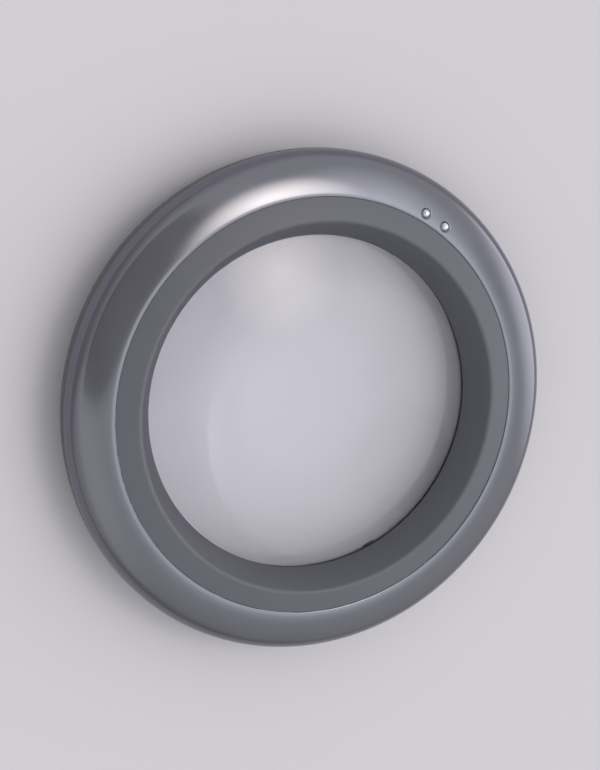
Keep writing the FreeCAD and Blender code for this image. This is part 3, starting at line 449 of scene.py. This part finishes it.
def zinc_plated_steel(colours):
    """Steel screws with clear zinc: bright, with cloudy patches."""
    return made_of("zinc_plated_steel", colours.zinc, roughness=(0.24, 0.42), patch=0.7 * MM,
                   grain=0.15 * MM, depth=0.002 * MM, mottle=0.08, Metallic=1.0)


def nickel_plated_can(colours):
    """Nickel-plated steel of the cells' cans: a mirror, a little dulled where it was pressed."""
    return made_of("nickel_plated_can", colours.cell_steel, roughness=(0.20, 0.32), patch=1.2 * MM,
                   grain=0.12 * MM, depth=0.001 * MM, mottle=0.05, Metallic=1.0)


def phosphor_bronze(colours):
    """Nickel-washed phosphor bronze strip: satin, with upright rolling marks."""
    return made_of("phosphor_bronze", colours.spring, roughness=(0.28, 0.40), patch=0.8 * MM,
                   grain=0.2 * MM, depth=0.001 * MM, mottle=0.06, stretch=(1, 1, 0.2), Metallic=1.0)


def epoxy_moulded(colours):
    """Black moulding compound of chips: matt and speckled."""
    return made_of("epoxy_moulded", colours.chip_black, roughness=(0.55, 0.70), patch=0.6 * MM,
                   grain=0.1 * MM, depth=0.004 * MM, mottle=0.15)


def pvc_insulation(name, base):
    """Soft PVC on a wire: smooth and half glossy."""
    return made_of(name, base, roughness=(0.34, 0.46), patch=2.5 * MM, grain=0.5 * MM,
                   depth=0.006 * MM, mottle=0.06)


def solder_mask(colours):
    """Glass-fibre board under green lacquer, lighter where copper lies below it."""
    copper_pitch, copper_reach, copper_thickness = 1.6 * MM, 0.55, 0.03 * MM
    material, tree = new_material("solder_mask")
    place = object_place(tree)
    fields = add_node(tree, "ShaderNodeTexVoronoi", {"Vector": place, "Scale": 1 / copper_pitch},
                      distance="MANHATTAN", feature="F1")
    copper = add_node(tree, "ShaderNodeMath", {0: fields.outputs["Distance"], 1: copper_reach},
                      operation="LESS_THAN").outputs[0]
    tone = add_node(tree, "ShaderNodeMix", {0: copper, 6: colours.mask_green, 7: colours.trace_green},
                    data_type="RGBA")
    bump = add_node(tree, "ShaderNodeBump", {"Height": copper, "Distance": copper_thickness})
    shader = add_node(tree, "ShaderNodeBsdfPrincipled", {
        "Base Color": tone.outputs[2], "Roughness": 0.3, "Normal": bump.outputs["Normal"]})
    add_node(tree, "ShaderNodeOutputMaterial", {"Surface": shader.outputs["BSDF"]})
    return material


def clear_plastic(name, refraction, roughness, tint):
    """Return a clear plastic that lets the lamps' light through to what lies under it."""
    material, tree = new_material(name)
    shader = add_node(tree, "ShaderNodeBsdfPrincipled", {
        "Base Color": tint, "Roughness": roughness, "IOR": refraction, "Transmission Weight": 1.0})
    passing = add_node(tree, "ShaderNodeBsdfTransparent", {"Color": tint})
    ray = add_node(tree, "ShaderNodeLightPath")
    mixed = add_node(tree, "ShaderNodeMixShader", {
        0: ray.outputs["Is Shadow Ray"], 1: shader.outputs["BSDF"], 2: passing.outputs["BSDF"]})
    add_node(tree, "ShaderNodeOutputMaterial", {"Surface": mixed.outputs["Shader"]})
    return material


def optical_acrylic():
    """Cast and polished acrylic, as lenses are: clear, with the faintest blue."""
    return clear_plastic("optical_acrylic", refraction=1.49, roughness=0.0, tint=linear("#FAFAFE"))


def lamp_epoxy():
    """Water-clear epoxy of a lamp: less perfectly smooth than the lens."""
    return clear_plastic("lamp_epoxy", refraction=1.53, roughness=0.04, tint=linear("#F4F4F4"))


# Pieces.

class PieceOperator:
    """What the operators of all pieces share."""

    bl_options = {"REGISTER", "UNDO"}

    def execute(self, context):
        """Build the pieces from the scene's sizes and colours."""
        self.build(context.scene.magnifier_sizes, context.scene.magnifier_colours)
        return {"FINISHED"}


class MAGNIFIER_OT_glossy_ring(PieceOperator, bpy.types.Operator):
    """Glossy domed ring with the ledge, the screw bosses and the recesses of the contacts"""

    bl_idname = "magnifier.glossy_ring"
    bl_label = "Glossy ring"

    def build(self, sizes, colours):
        # The dome's arc takes over from the shoulder's without a kink, and ends at the crease.
        shoulder = Vector((sizes.rim_radius - sizes.shoulder_radius, sizes.rim_height))
        crease = Vector((sizes.crease_radius, sizes.crease_height))
        gap = crease - shoulder
        inner_reach = sizes.dome_radius - sizes.shoulder_radius
        along = (inner_reach ** 2 - sizes.dome_radius ** 2 + gap.length_squared) / (2 * gap.length)
        aside = math.sqrt(inner_reach ** 2 - along ** 2)
        ahead = gap.normalized()
        dome = shoulder + ahead * along + Vector((-ahead.y, ahead.x)) * aside
        meeting = math.degrees(math.atan2(shoulder.y - dome.y, shoulder.x - dome.x))
        slope = Vector((crease.y - dome.y, dome.x - crease.x)).normalized()

        # Inside, the wall follows them from the skirt over the ledge to the lower shell's groove.
        wall = sizes.shell_wall
        inner_dome = sizes.dome_radius - wall
        skirt = sizes.crease_radius + sizes.skirt_wall
        skirt_angle = math.degrees(math.acos((skirt - dome.x) / inner_dome))
        ledge_bottom = sizes.ledge_top - sizes.ledge_thickness
        ledge_inner = sizes.crease_radius - sizes.ledge_width
        groove_top = sizes.rim_height + sizes.lip_groove
        inner_shoulder = sizes.shoulder_radius - wall
        groove_angle = math.degrees(math.asin(sizes.lip_groove / inner_shoulder))
        chamfer_angle = math.degrees(math.asin(sizes.rim_chamfer / sizes.shoulder_radius))

        # The crease's rounding lies further in, and the joint cuts it off where it slopes this much.
        cut_slope = math.radians(35)
        corner = crease - Vector((sizes.crease_rounding * (1 - math.sin(cut_slope)), 0))
        edge = rounded(corner + slope, corner, corner - Vector((0, 1)), sizes.crease_rounding, count=12)
        edge = [point for point in edge if point[0] >= sizes.crease_radius]
        edge_angle = math.degrees(math.atan2(edge[0][1] - dome.y, edge[0][0] - dome.x))

        outline = [(sizes.rim_radius - sizes.rim_chamfer, sizes.rim_height)]
        outline += arc(shoulder, sizes.shoulder_radius, chamfer_angle, meeting, count=30)
        outline += arc(dome, sizes.dome_radius, meeting, edge_angle, count=24)[1:-1]
        outline += edge
        outline += [(sizes.crease_radius, sizes.ledge_top), (ledge_inner, sizes.ledge_top),
                    (ledge_inner, ledge_bottom), (skirt, ledge_bottom)]
        outline += arc(dome, inner_dome, skirt_angle, meeting, count=12)
        outline += arc(shoulder, inner_shoulder, meeting, groove_angle, count=8)[1:]
        outline += [(sizes.rim_radius - wall, groove_top), (sizes.rim_radius - wall, sizes.rim_height)]
        ring = turned("glossy_ring", outline, RING_STEPS)

        # The recesses disturb the smooth shading round them, so it is taken back from the whole ring.
        whole = copied(ring, "whole_ring", Matrix())
        recesses = []
        for number in range(1, CONTACT_COUNT + 1):
            recesses += self.recess(sizes, dome, f"touch_stud_{number}")
        cut(ring, recesses)
        apply_modifier(ring, "DATA_TRANSFER", object=whole, use_loop_data=True,
                       data_types_loops={"CUSTOM_NORMAL"}, loop_mapping="POLYINTERP_NEAREST",
                       use_max_distance=True, max_distance=0.002 * MM)
        bpy.data.objects.remove(whole)

        bosses = []
        for number in range(1, CASE_SCREW_COUNT + 1):
            middle = node_middle(f"case_screw_{number}")
            tube = [(sizes.pilot_radius, sizes.case_joint), (sizes.boss_radius, sizes.case_joint),
                    (sizes.boss_radius, ledge_bottom), (sizes.pilot_radius, ledge_bottom)]
            bosses.append(turned("boss", tube, SMALL_STEPS, middle[:2]))
        joined(ring, bosses)
        finish(ring, gunmetal_plated_abs(colours), "gloss_shell", "case", "top_shell")

    def recess(self, sizes, dome, stud):
        """Return the shapes that cut a contact's bore and the dish that slopes with the dome."""
        bore_gap, bore_height, above = 0.02 * MM, 3 * MM, 0.25 * MM
        middle = node_middle(stud)
        seat = sizes.crease_height - sizes.stud_sink
        radius = sizes.stud_radius + bore_gap
        bore = turned("bore", [(0, seat), (radius, seat), (radius, seat + bore_height),
                               (0, seat + bore_height)], SMALL_STEPS, middle[:2], closed=False)
        dish = turned("dish", [(0, -sizes.dish_depth), (sizes.stud_radius, -sizes.dish_depth),
                               (sizes.stud_radius + sizes.dish_depth + above, above), (0, above)],
                      SMALL_STEPS, closed=False)
        tilt = math.asin((math.hypot(middle.x, middle.y) - dome.x) / sizes.dome_radius)
        surface = dome.y + sizes.dome_radius * math.cos(tilt)
        dish.data.transform(Matrix.Translation((middle.x, middle.y, surface))
                            @ Matrix.Rotation(math.atan2(middle.y, middle.x), 4, "Z")
                            @ Matrix.Rotation(tilt, 4, "Y"))
        return [bore, dish]


class MAGNIFIER_OT_matt_bezel(PieceOperator, bpy.types.Operator):
    """Matt bezel with its sloping top, its crest and its conical wall"""

    bl_idname = "magnifier.matt_bezel"
    bl_label = "Matt bezel"

    def build(self, sizes, colours):
        foot_wall, crown_wall, skirt_wall, eave_wall = 1.5 * MM, 1.7 * MM, 1.25 * MM, 1.0 * MM
        lens_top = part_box("inner_bezel")[0].z
        lean = (sizes.crest_radius - sizes.view_radius) / (sizes.crest_height - lens_top)
        foot = sizes.view_radius + foot_wall
        crown = sizes.crest_height - crown_wall
        skirt = sizes.bezel_outer - skirt_wall
        corners = [
            (sizes.bezel_outer, sizes.bezel_edge, 0),
            (sizes.crest_radius, sizes.crest_height, sizes.crest_rounding),
            (sizes.view_radius, lens_top, sizes.bezel_rounding),
            (foot, lens_top, 0),
            (foot + (crown - lens_top) * lean, crown, 0),
            (skirt, sizes.bezel_edge - eave_wall, 0),
            (skirt, sizes.ledge_top, 0),
            (sizes.bezel_outer, sizes.ledge_top, 0),
        ]
        bezel = turned("matt_bezel", rounded_loop(corners), RING_STEPS)
        finish(bezel, spark_eroded_abs(colours), "matte_bezel", "case", "inner_bezel")


class MAGNIFIER_OT_clear_lens(PieceOperator, bpy.types.Operator):
    """Large clear lens, curved on both sides, with a flat flange"""

    bl_idname = "magnifier.clear_lens"
    bl_label = "Clear lens"

    def build(self, sizes, colours):
        def rise(across):
            """Return how far a face stands out at a distance from the axis."""
            edge = math.sqrt(sizes.lens_curve ** 2 - sizes.lens_optic ** 2)
            return math.sqrt(sizes.lens_curve ** 2 - across ** 2) - edge

        # Rings of faces on each side.
        rings = 56
        radii = [sizes.lens_optic * step / rings for step in range(rings + 1)]
        radius, bevel = sizes.lens_radius, sizes.lens_break
        bottom = sizes.lens_seat
        top = bottom + sizes.lens_edge
        outline = [(across, bottom - rise(across)) for across in radii]
        outline += [(radius - bevel, bottom), (radius, bottom + bevel), (radius, top - bevel),
                    (radius - bevel, top)]
        outline += [(across, top + rise(across)) for across in reversed(radii)]
        lens = turned("clear_lens", outline, RING_STEPS, closed=False, hard_edge=LENS_HARD_EDGE)
        finish(lens, optical_acrylic(), "clear_lens", "case", "lens")


class MAGNIFIER_OT_touch_contacts(PieceOperator, bpy.types.Operator):
    """Two domed metal contacts in the ring"""

    bl_idname = "magnifier.touch_contacts"
    bl_label = "Touch contacts"

    def build(self, sizes, colours):
        shank_bevel, head_bevel = 0.15 * MM, 0.05 * MM
        low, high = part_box("touch_stud_1")
        radius, shank = sizes.stud_radius, sizes.stud_shank
        skirt_top = high.z - radius
        seat = skirt_top - sizes.stud_skirt
        outline = [(0, low.z), (shank - shank_bevel, low.z), (shank, low.z + shank_bevel),
                   (shank, seat), (radius - head_bevel, seat), (radius, seat + head_bevel)]
        outline += arc((0, skirt_top), radius, first=0, last=90, count=16)
        contact = turned("contact_shape", outline, SMALL_STEPS, closed=False)
        set_out(contact, "contact_dome", "touch_stud", CONTACT_COUNT, polished_nickel(colours),
                "contact_chrome", "case")


class MAGNIFIER_OT_lower_shell(PieceOperator, bpy.types.Operator):
    """Lower shell and the battery door in its underside"""

    bl_idname = "magnifier.lower_shell"
    bl_label = "Lower shell and door"

    def build(self, sizes, colours):
        material = moulded_abs(colours)
        for node in ("base_shell", "battery_door"):
            paint(node, material)


class MAGNIFIER_OT_foot_pads(PieceOperator, bpy.types.Operator):
    """Four round rubber pads under the lower shell"""

    bl_idname = "magnifier.foot_pads"
    bl_label = "Foot pads"

    def build(self, sizes, colours):
        dish_depth, dish_share, rim_share = 0.15 * MM, 0.62, 0.68
        dish_rounding, small_rounding, edge_rounding = 0.05 * MM, 0.08 * MM, 0.3 * MM
        low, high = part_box("foot_pad_1")
        radius = (high.x - low.x) / 2
        dish = low.z + dish_depth
        corners = [
            (0, dish, 0),
            (radius * dish_share, dish, dish_rounding),
            (radius * rim_share, low.z, small_rounding),
            (radius, low.z, edge_rounding),
            (radius, high.z, small_rounding),
            (0, high.z, 0),
        ]
        pad = turned("pad_shape", rounded_loop(corners), SMALL_STEPS, closed=False)
        set_out(pad, "rubber_pad", "foot_pad", PAD_COUNT, silicone_rubber(colours), "pad_rubber",
                "case")


class MAGNIFIER_OT_screws(PieceOperator, bpy.types.Operator):
    """Pan-head screws with cross recesses: four in the case, two in the board, two in the door"""

    bl_idname = "magnifier.screws"
    bl_label = "Screws"

    def build(self, sizes, colours):
        material = zinc_plated_steel(colours)

        # Shares of the head's radius, and then of its height. The head points down.
        flat_share, side_middle, side_rounding, cross_length, cross_width = 0.72, 0.62, 0.38, 1.5, 0.34
        side_height, cross_depth = 0.45, 0.75
        cross_bevel, cross_taper, tip_radius = 0.03 * MM, 0.5, 0.1 * MM

        # Each screw of a kind is turned this much further, in radians.
        turn = 0.7

        # Each kind has its count, its head's height, its shank's radius and its body.
        kinds = (
            ("case_screw", CASE_SCREW_COUNT, 1.3 * MM, 0.95 * MM, "case"),
            ("board_screw", 2, 0.9 * MM, 0.7 * MM, "case"),
            ("door_screw", 2, 0.75 * MM, 0.8 * MM, "battery_door"),
        )
        for kind, count, head_height, shank, body in kinds:
            low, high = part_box(f"{kind}_1")
            head = (high.x - low.x) / 2
            seat = low.z + head_height
            side = (head * side_middle, low.z + head_height * side_height)
            outline = [(0, low.z), (head * flat_share, low.z)]
            outline += arc(side, head * side_rounding, first=-75, last=0, count=6)[1:]
            outline += [(head, seat), (shank, seat), (shank, high.z - shank), (tip_radius, high.z),
                        (0, high.z)]
            screw = turned(kind, outline, SCREW_STEPS, closed=False)
            long, wide, deep = head * cross_length, head * cross_width, 2 * cross_depth * head_height
            cut(screw, [block("slot", size, (0, 0, low.z), cross_bevel, cross_taper)
                        for size in ((long, wide, deep), (wide, long, deep))])
            set_out(screw, f"{kind}_cross", kind, count, material, "screw_steel", body, turn)


class MAGNIFIER_OT_circuit_board(PieceOperator, bpy.types.Operator):
    """Curved circuit board with its chip and resistors"""

    bl_idname = "magnifier.circuit_board"
    bl_label = "Circuit board"

    def build(self, sizes, colours):
        paint("circuit_board", solder_mask(colours))
        compound = epoxy_moulded(colours)
        for node in ("touch_chip", "resistor_1", "resistor_2", "resistor_3"):
            paint(node, compound)


class MAGNIFIER_OT_lamps(PieceOperator, bpy.types.Operator):
    """Three clear lamps with their leads"""

    bl_idname = "magnifier.lamps"
    bl_label = "Lamps"

    def build(self, sizes, colours):
        clear = lamp_epoxy()
        lead = phosphor_bronze(colours)

        # A lamp's heights run along its own axis, into the wall from the wall's face.
        tip, seat, back = -1.2 * MM, 3.1 * MM, 4.1 * MM
        outline = arc((0, tip + sizes.lamp_radius), sizes.lamp_radius, first=-90, last=0, count=16)
        outline += [(sizes.lamp_radius, seat), (sizes.lamp_flange, seat), (sizes.lamp_flange, back),
                    (0, back)]
        lamp = turned("lamp_shape", outline, LAMP_STEPS, closed=False)

        # The lead frame is a cup for the chip, on two posts.
        cup_front, cup_floor, cup_back = 0.9 * MM, 1.3 * MM, 1.9 * MM
        floor_radius, mouth_radius, cup_radius = 0.25 * MM, 0.5 * MM, 0.6 * MM
        post_width, post_length, post_middle, post_bevel = 0.4 * MM, 2.4 * MM, 2.6 * MM, 0.06 * MM
        outline = [(0, cup_floor), (floor_radius, cup_floor), (mouth_radius, cup_front),
                   (cup_radius, cup_front), (cup_radius, cup_back), (0, cup_back)]
        cup = turned("cup_shape", outline, CUP_STEPS, closed=False)
        joined(cup, [block("post", (post_width, post_width, post_length),
                           (side * cup_radius, 0, post_middle), post_bevel) for side in (-1, 1)])

        # The lamps stand square to the wall under the lens, which leans out 2.4 mm in 6.9 mm.
        across, height, first_angle = 34.783 * MM, 4.3 * MM, 54.6
        wall_lean, wall_height = 2.4, 6.9
        tilt = math.atan(wall_lean / wall_height)
        for number in range(1, LAMP_COUNT + 1):
            angle = math.radians(first_angle + 360 / LAMP_COUNT * (number - 1))
            place = (Matrix.Rotation(angle, 4, "Z") @ Matrix.Translation((across, 0, height))
                     @ Matrix.Rotation(math.pi / 2 - tilt, 4, "Y"))
            bulb = copied(lamp, f"lamp_dome_{number}", place)
            finish(bulb, clear, "lamp_clear", "case", f"lamp_{number}")
            lead_frame = copied(cup, f"lamp_frame_{number}", place)
            finish(lead_frame, lead, "spring_metal", "case")
            paint(f"lamp_legs_{number}", lead)
        for shape in (lamp, cup):
            bpy.data.objects.remove(shape)


class MAGNIFIER_OT_button_cells(PieceOperator, bpy.types.Operator):
    """Three button cells in a row, each with its cap, the groove of its seal and its crimped can"""

    bl_idname = "magnifier.button_cells"
    bl_label = "Button cells"

    def build(self, sizes, colours):
        steel = nickel_plated_can(colours)
        half = sizes.cell_thickness / 2
        rim = half - sizes.cell_cap_height
        cap = sizes.cell_cap
        groove, can_rounding, crimp_rounding = 0.3 * MM, 0.25 * MM, 0.3 * MM
        groove_rounding, cap_rounding = 0.1 * MM, 0.2 * MM
        corners = [
            (0, -half, 0),
            (sizes.cell_radius, -half, can_rounding),
            (sizes.cell_radius, rim, crimp_rounding),
            (cap + groove, rim, groove_rounding),
            (cap + groove, rim - groove, 0),
            (cap, rim - groove, 0),
            (cap, half, cap_rounding),
            (0, half, 0),
        ]
        can = turned("cell_shape", rounded_loop(corners), CELL_STEPS, closed=False)
        row = node_middle(f"button_cell_{CELL_COUNT}") - node_middle("button_cell_1")
        turn = row.normalized().to_track_quat("Z", "Y").to_matrix().to_4x4()
        for number in range(1, CELL_COUNT + 1):
            node = f"button_cell_{number}"
            cell = copied(can, f"cell_can_{number}", Matrix.Translation(node_middle(node)) @ turn)
            finish(cell, steel, "cell_steel", "button_cells", node)
        bpy.data.objects.remove(can)


class MAGNIFIER_OT_battery_contacts(PieceOperator, bpy.types.Operator):
    """Sprung strips at the ends of the battery box"""

    bl_idname = "magnifier.battery_contacts"
    bl_label = "Battery contacts"

    def build(self, sizes, colours):
        material = phosphor_bronze(colours)
        for node in ("positive_contact", "negative_contact"):
            paint(node, material)


class MAGNIFIER_OT_wires(PieceOperator, bpy.types.Operator):
    """Wires between the battery box, the board and the lamps"""

    bl_idname = "magnifier.wires"
    bl_label = "Wires"

    def build(self, sizes, colours):
        paint("battery_wire_red", pvc_insulation("pvc_red", colours.red))
        paint("battery_wire_black", pvc_insulation("pvc_black", colours.black))
        white = pvc_insulation("pvc_white", colours.white)
        for node in ("lamp_wire_left", "lamp_wire_right", "lamp_wire_short"):
            paint(node, white)


class MAGNIFIER_OT_stage(bpy.types.Operator):
    """Floor, lamps, surroundings and camera"""

    bl_idname = "magnifier.stage"
    bl_label = "Stage"
    bl_options = {"REGISTER", "UNDO"}

    def execute(self, context):
        """Build the stage."""
        stage = context.scene.magnifier_stage
        self.lay_floor(stage)
        self.light(context.scene, stage)
        self.place_camera(context.scene, stage)
        context.scene.view_settings.view_transform = "Standard"
        return {"FINISHED"}

    def lay_floor(self, stage):
        """Lay a plain pale floor just under the pads."""
        clearance = 0.05 * MM
        deselect()
        bpy.ops.mesh.primitive_grid_add(x_subdivisions=8, y_subdivisions=8, size=6.0,
                                        location=(0, 0, -clearance))
        floor = bpy.context.object
        floor.name = "floor"
        bpy.ops.object.transform_apply()
        floor.data.materials.append(made_of("painted_board", stage.floor, roughness=(0.7, 0.8),
                                            patch=60 * MM, grain=0.8 * MM, depth=0.01 * MM,
                                            mottle=0.006))

    def light(self, scene, stage):
        """Hang two soft lamps with narrow beams in a room with bright parts and a darker one."""
        lamp_size, lamp_distance = 0.8, 0.9

        # Each lamp has its azimuth, elevation and beam in degrees, its power and its tint.
        lamps = (
            ("key_lamp", 43, 69, 27, stage.key_strength, (1.0, 0.93, 0.78)),
            ("fill_lamp", 22, 56, 40, stage.fill_strength, (1.0, 1.0, 1.0)),
        )
        for name, azimuth, elevation, beam, power, tint in lamps:
            lamp = bpy.data.lights.new(name, "AREA")
            lamp.shape = "DISK"
            lamp.size, lamp.spread = lamp_size, math.radians(beam)
            lamp.energy, lamp.color = power, tint
            holder = bpy.data.objects.new(name, lamp)
            scene.collection.objects.link(holder)
            holder.visible_transmission = False
            around = Matrix.Rotation(math.radians(azimuth), 4, "Z")
            lowered = Matrix.Rotation(math.radians(90 - elevation), 4, "Y")
            holder.matrix_world = around @ lowered @ Matrix.Translation((0, 0, lamp_distance))
        world = bpy.data.worlds.new("studio")
        world.use_nodes = True
        tree = world.node_tree
        tree.nodes.clear()
        way = add_node(tree, "ShaderNodeTexCoord").outputs["Generated"]

        # Each glow has the way to its middle, the cosines from that way at which it starts and is
        # full, and how much it adds. The last one takes light away, behind the camera.
        glows = (
            ((0.50, 0.20, 0.84), -0.2, 0.8, 0.60),
            ((0.39, -0.25, 0.88), 0.85, 0.95, 0.80),
            ((0.98, 0.00, 0.12), 0.87, 0.99, 1.70),
            ((-0.66, -0.45, 0.60), 0.8, 0.95, 0.30),
            ((-0.29, 0.20, 0.94), 0.92, 0.95, -0.50),
        )
        strength = stage.room_strength
        for middle, start, full, amount in glows:
            cosine = add_node(tree, "ShaderNodeVectorMath", {0: way, 1: middle},
                              operation="DOT_PRODUCT").outputs["Value"]
            glow = add_node(tree, "ShaderNodeMapRange", {
                "Value": cosine, "From Min": start, "From Max": full, "To Min": 0.0,
                "To Max": amount}, interpolation_type="SMOOTHSTEP")
            strength = add_node(tree, "ShaderNodeMath", {0: strength, 1: glow.outputs["Result"]},
                                operation="ADD").outputs[0]
        room = add_node(tree, "ShaderNodeBackground", {"Strength": strength})
        backdrop = add_node(tree, "ShaderNodeBackground", {"Color": stage.floor})
        ray = add_node(tree, "ShaderNodeLightPath")
        seen = add_node(tree, "ShaderNodeMixShader", {
            0: ray.outputs["Is Camera Ray"], 1: room.outputs[0], 2: backdrop.outputs[0]})
        add_node(tree, "ShaderNodeOutputWorld", {"Surface": seen.outputs[0]})
        scene.world = world

    def place_camera(self, scene, stage):
        """Set the camera where the photograph was taken from."""
        camera = bpy.data.cameras.new("camera")
        camera.lens = stage.camera_lens
        holder = bpy.data.objects.new("camera", camera)
        scene.collection.objects.link(holder)
        holder.location = stage.camera_place
        holder.rotation_euler = stage.camera_turn
        scene.camera = holder


class MAGNIFIER_PT_pieces(bpy.types.Panel):
    """Buttons for the pieces, with the sizes and colours"""

    bl_idname = "MAGNIFIER_PT_pieces"
    bl_label = "Low vision magnifier"
    bl_space_type = "VIEW_3D"
    bl_region_type = "UI"
    bl_category = "Magnifier"

    def draw(self, context):
        """List the operators, and then the sizes and colours."""
        for operator in OPERATORS:
            self.layout.operator(operator.bl_idname)
        for group in (context.scene.magnifier_sizes, context.scene.magnifier_colours,
                      context.scene.magnifier_stage):
            column = self.layout.column()
            for name in group.bl_rna.properties.keys():
                if name not in ("rna_type", "name"):
                    column.prop(group, name)


OPERATORS = (
    MAGNIFIER_OT_glossy_ring,
    MAGNIFIER_OT_matt_bezel,
    MAGNIFIER_OT_clear_lens,
    MAGNIFIER_OT_touch_contacts,
    MAGNIFIER_OT_lower_shell,
    MAGNIFIER_OT_foot_pads,
    MAGNIFIER_OT_screws,
    MAGNIFIER_OT_circuit_board,
    MAGNIFIER_OT_lamps,
    MAGNIFIER_OT_button_cells,
    MAGNIFIER_OT_battery_contacts,
    MAGNIFIER_OT_wires,
    MAGNIFIER_OT_stage,
)
GROUPS = (MagnifierSizes, MagnifierColours, StageSettings)


def register():
    """Register the classes, and hang the settings on the scene."""
    for item in GROUPS + OPERATORS + (MAGNIFIER_PT_pieces,):
        bpy.utils.register_class(item)
    bpy.types.Scene.magnifier_sizes = bpy.props.PointerProperty(type=MagnifierSizes)
    bpy.types.Scene.magnifier_colours = bpy.props.PointerProperty(type=MagnifierColours)
    bpy.types.Scene.magnifier_stage = bpy.props.PointerProperty(type=StageSettings)


def unregister():
    """Take the settings off the scene, and unregister the classes."""
    del bpy.types.Scene.magnifier_stage
    del bpy.types.Scene.magnifier_colours
    del bpy.types.Scene.magnifier_sizes
    for item in reversed(GROUPS + OPERATORS + (MAGNIFIER_PT_pieces,)):
        bpy.utils.unregister_class(item)


def main():
    """Build every piece and the stage."""
    register()
    for operator in OPERATORS:
        group, name = operator.bl_idname.split(".")
        getattr(getattr(bpy.ops, group), name)()


if __name__ == "__main__":
    main()
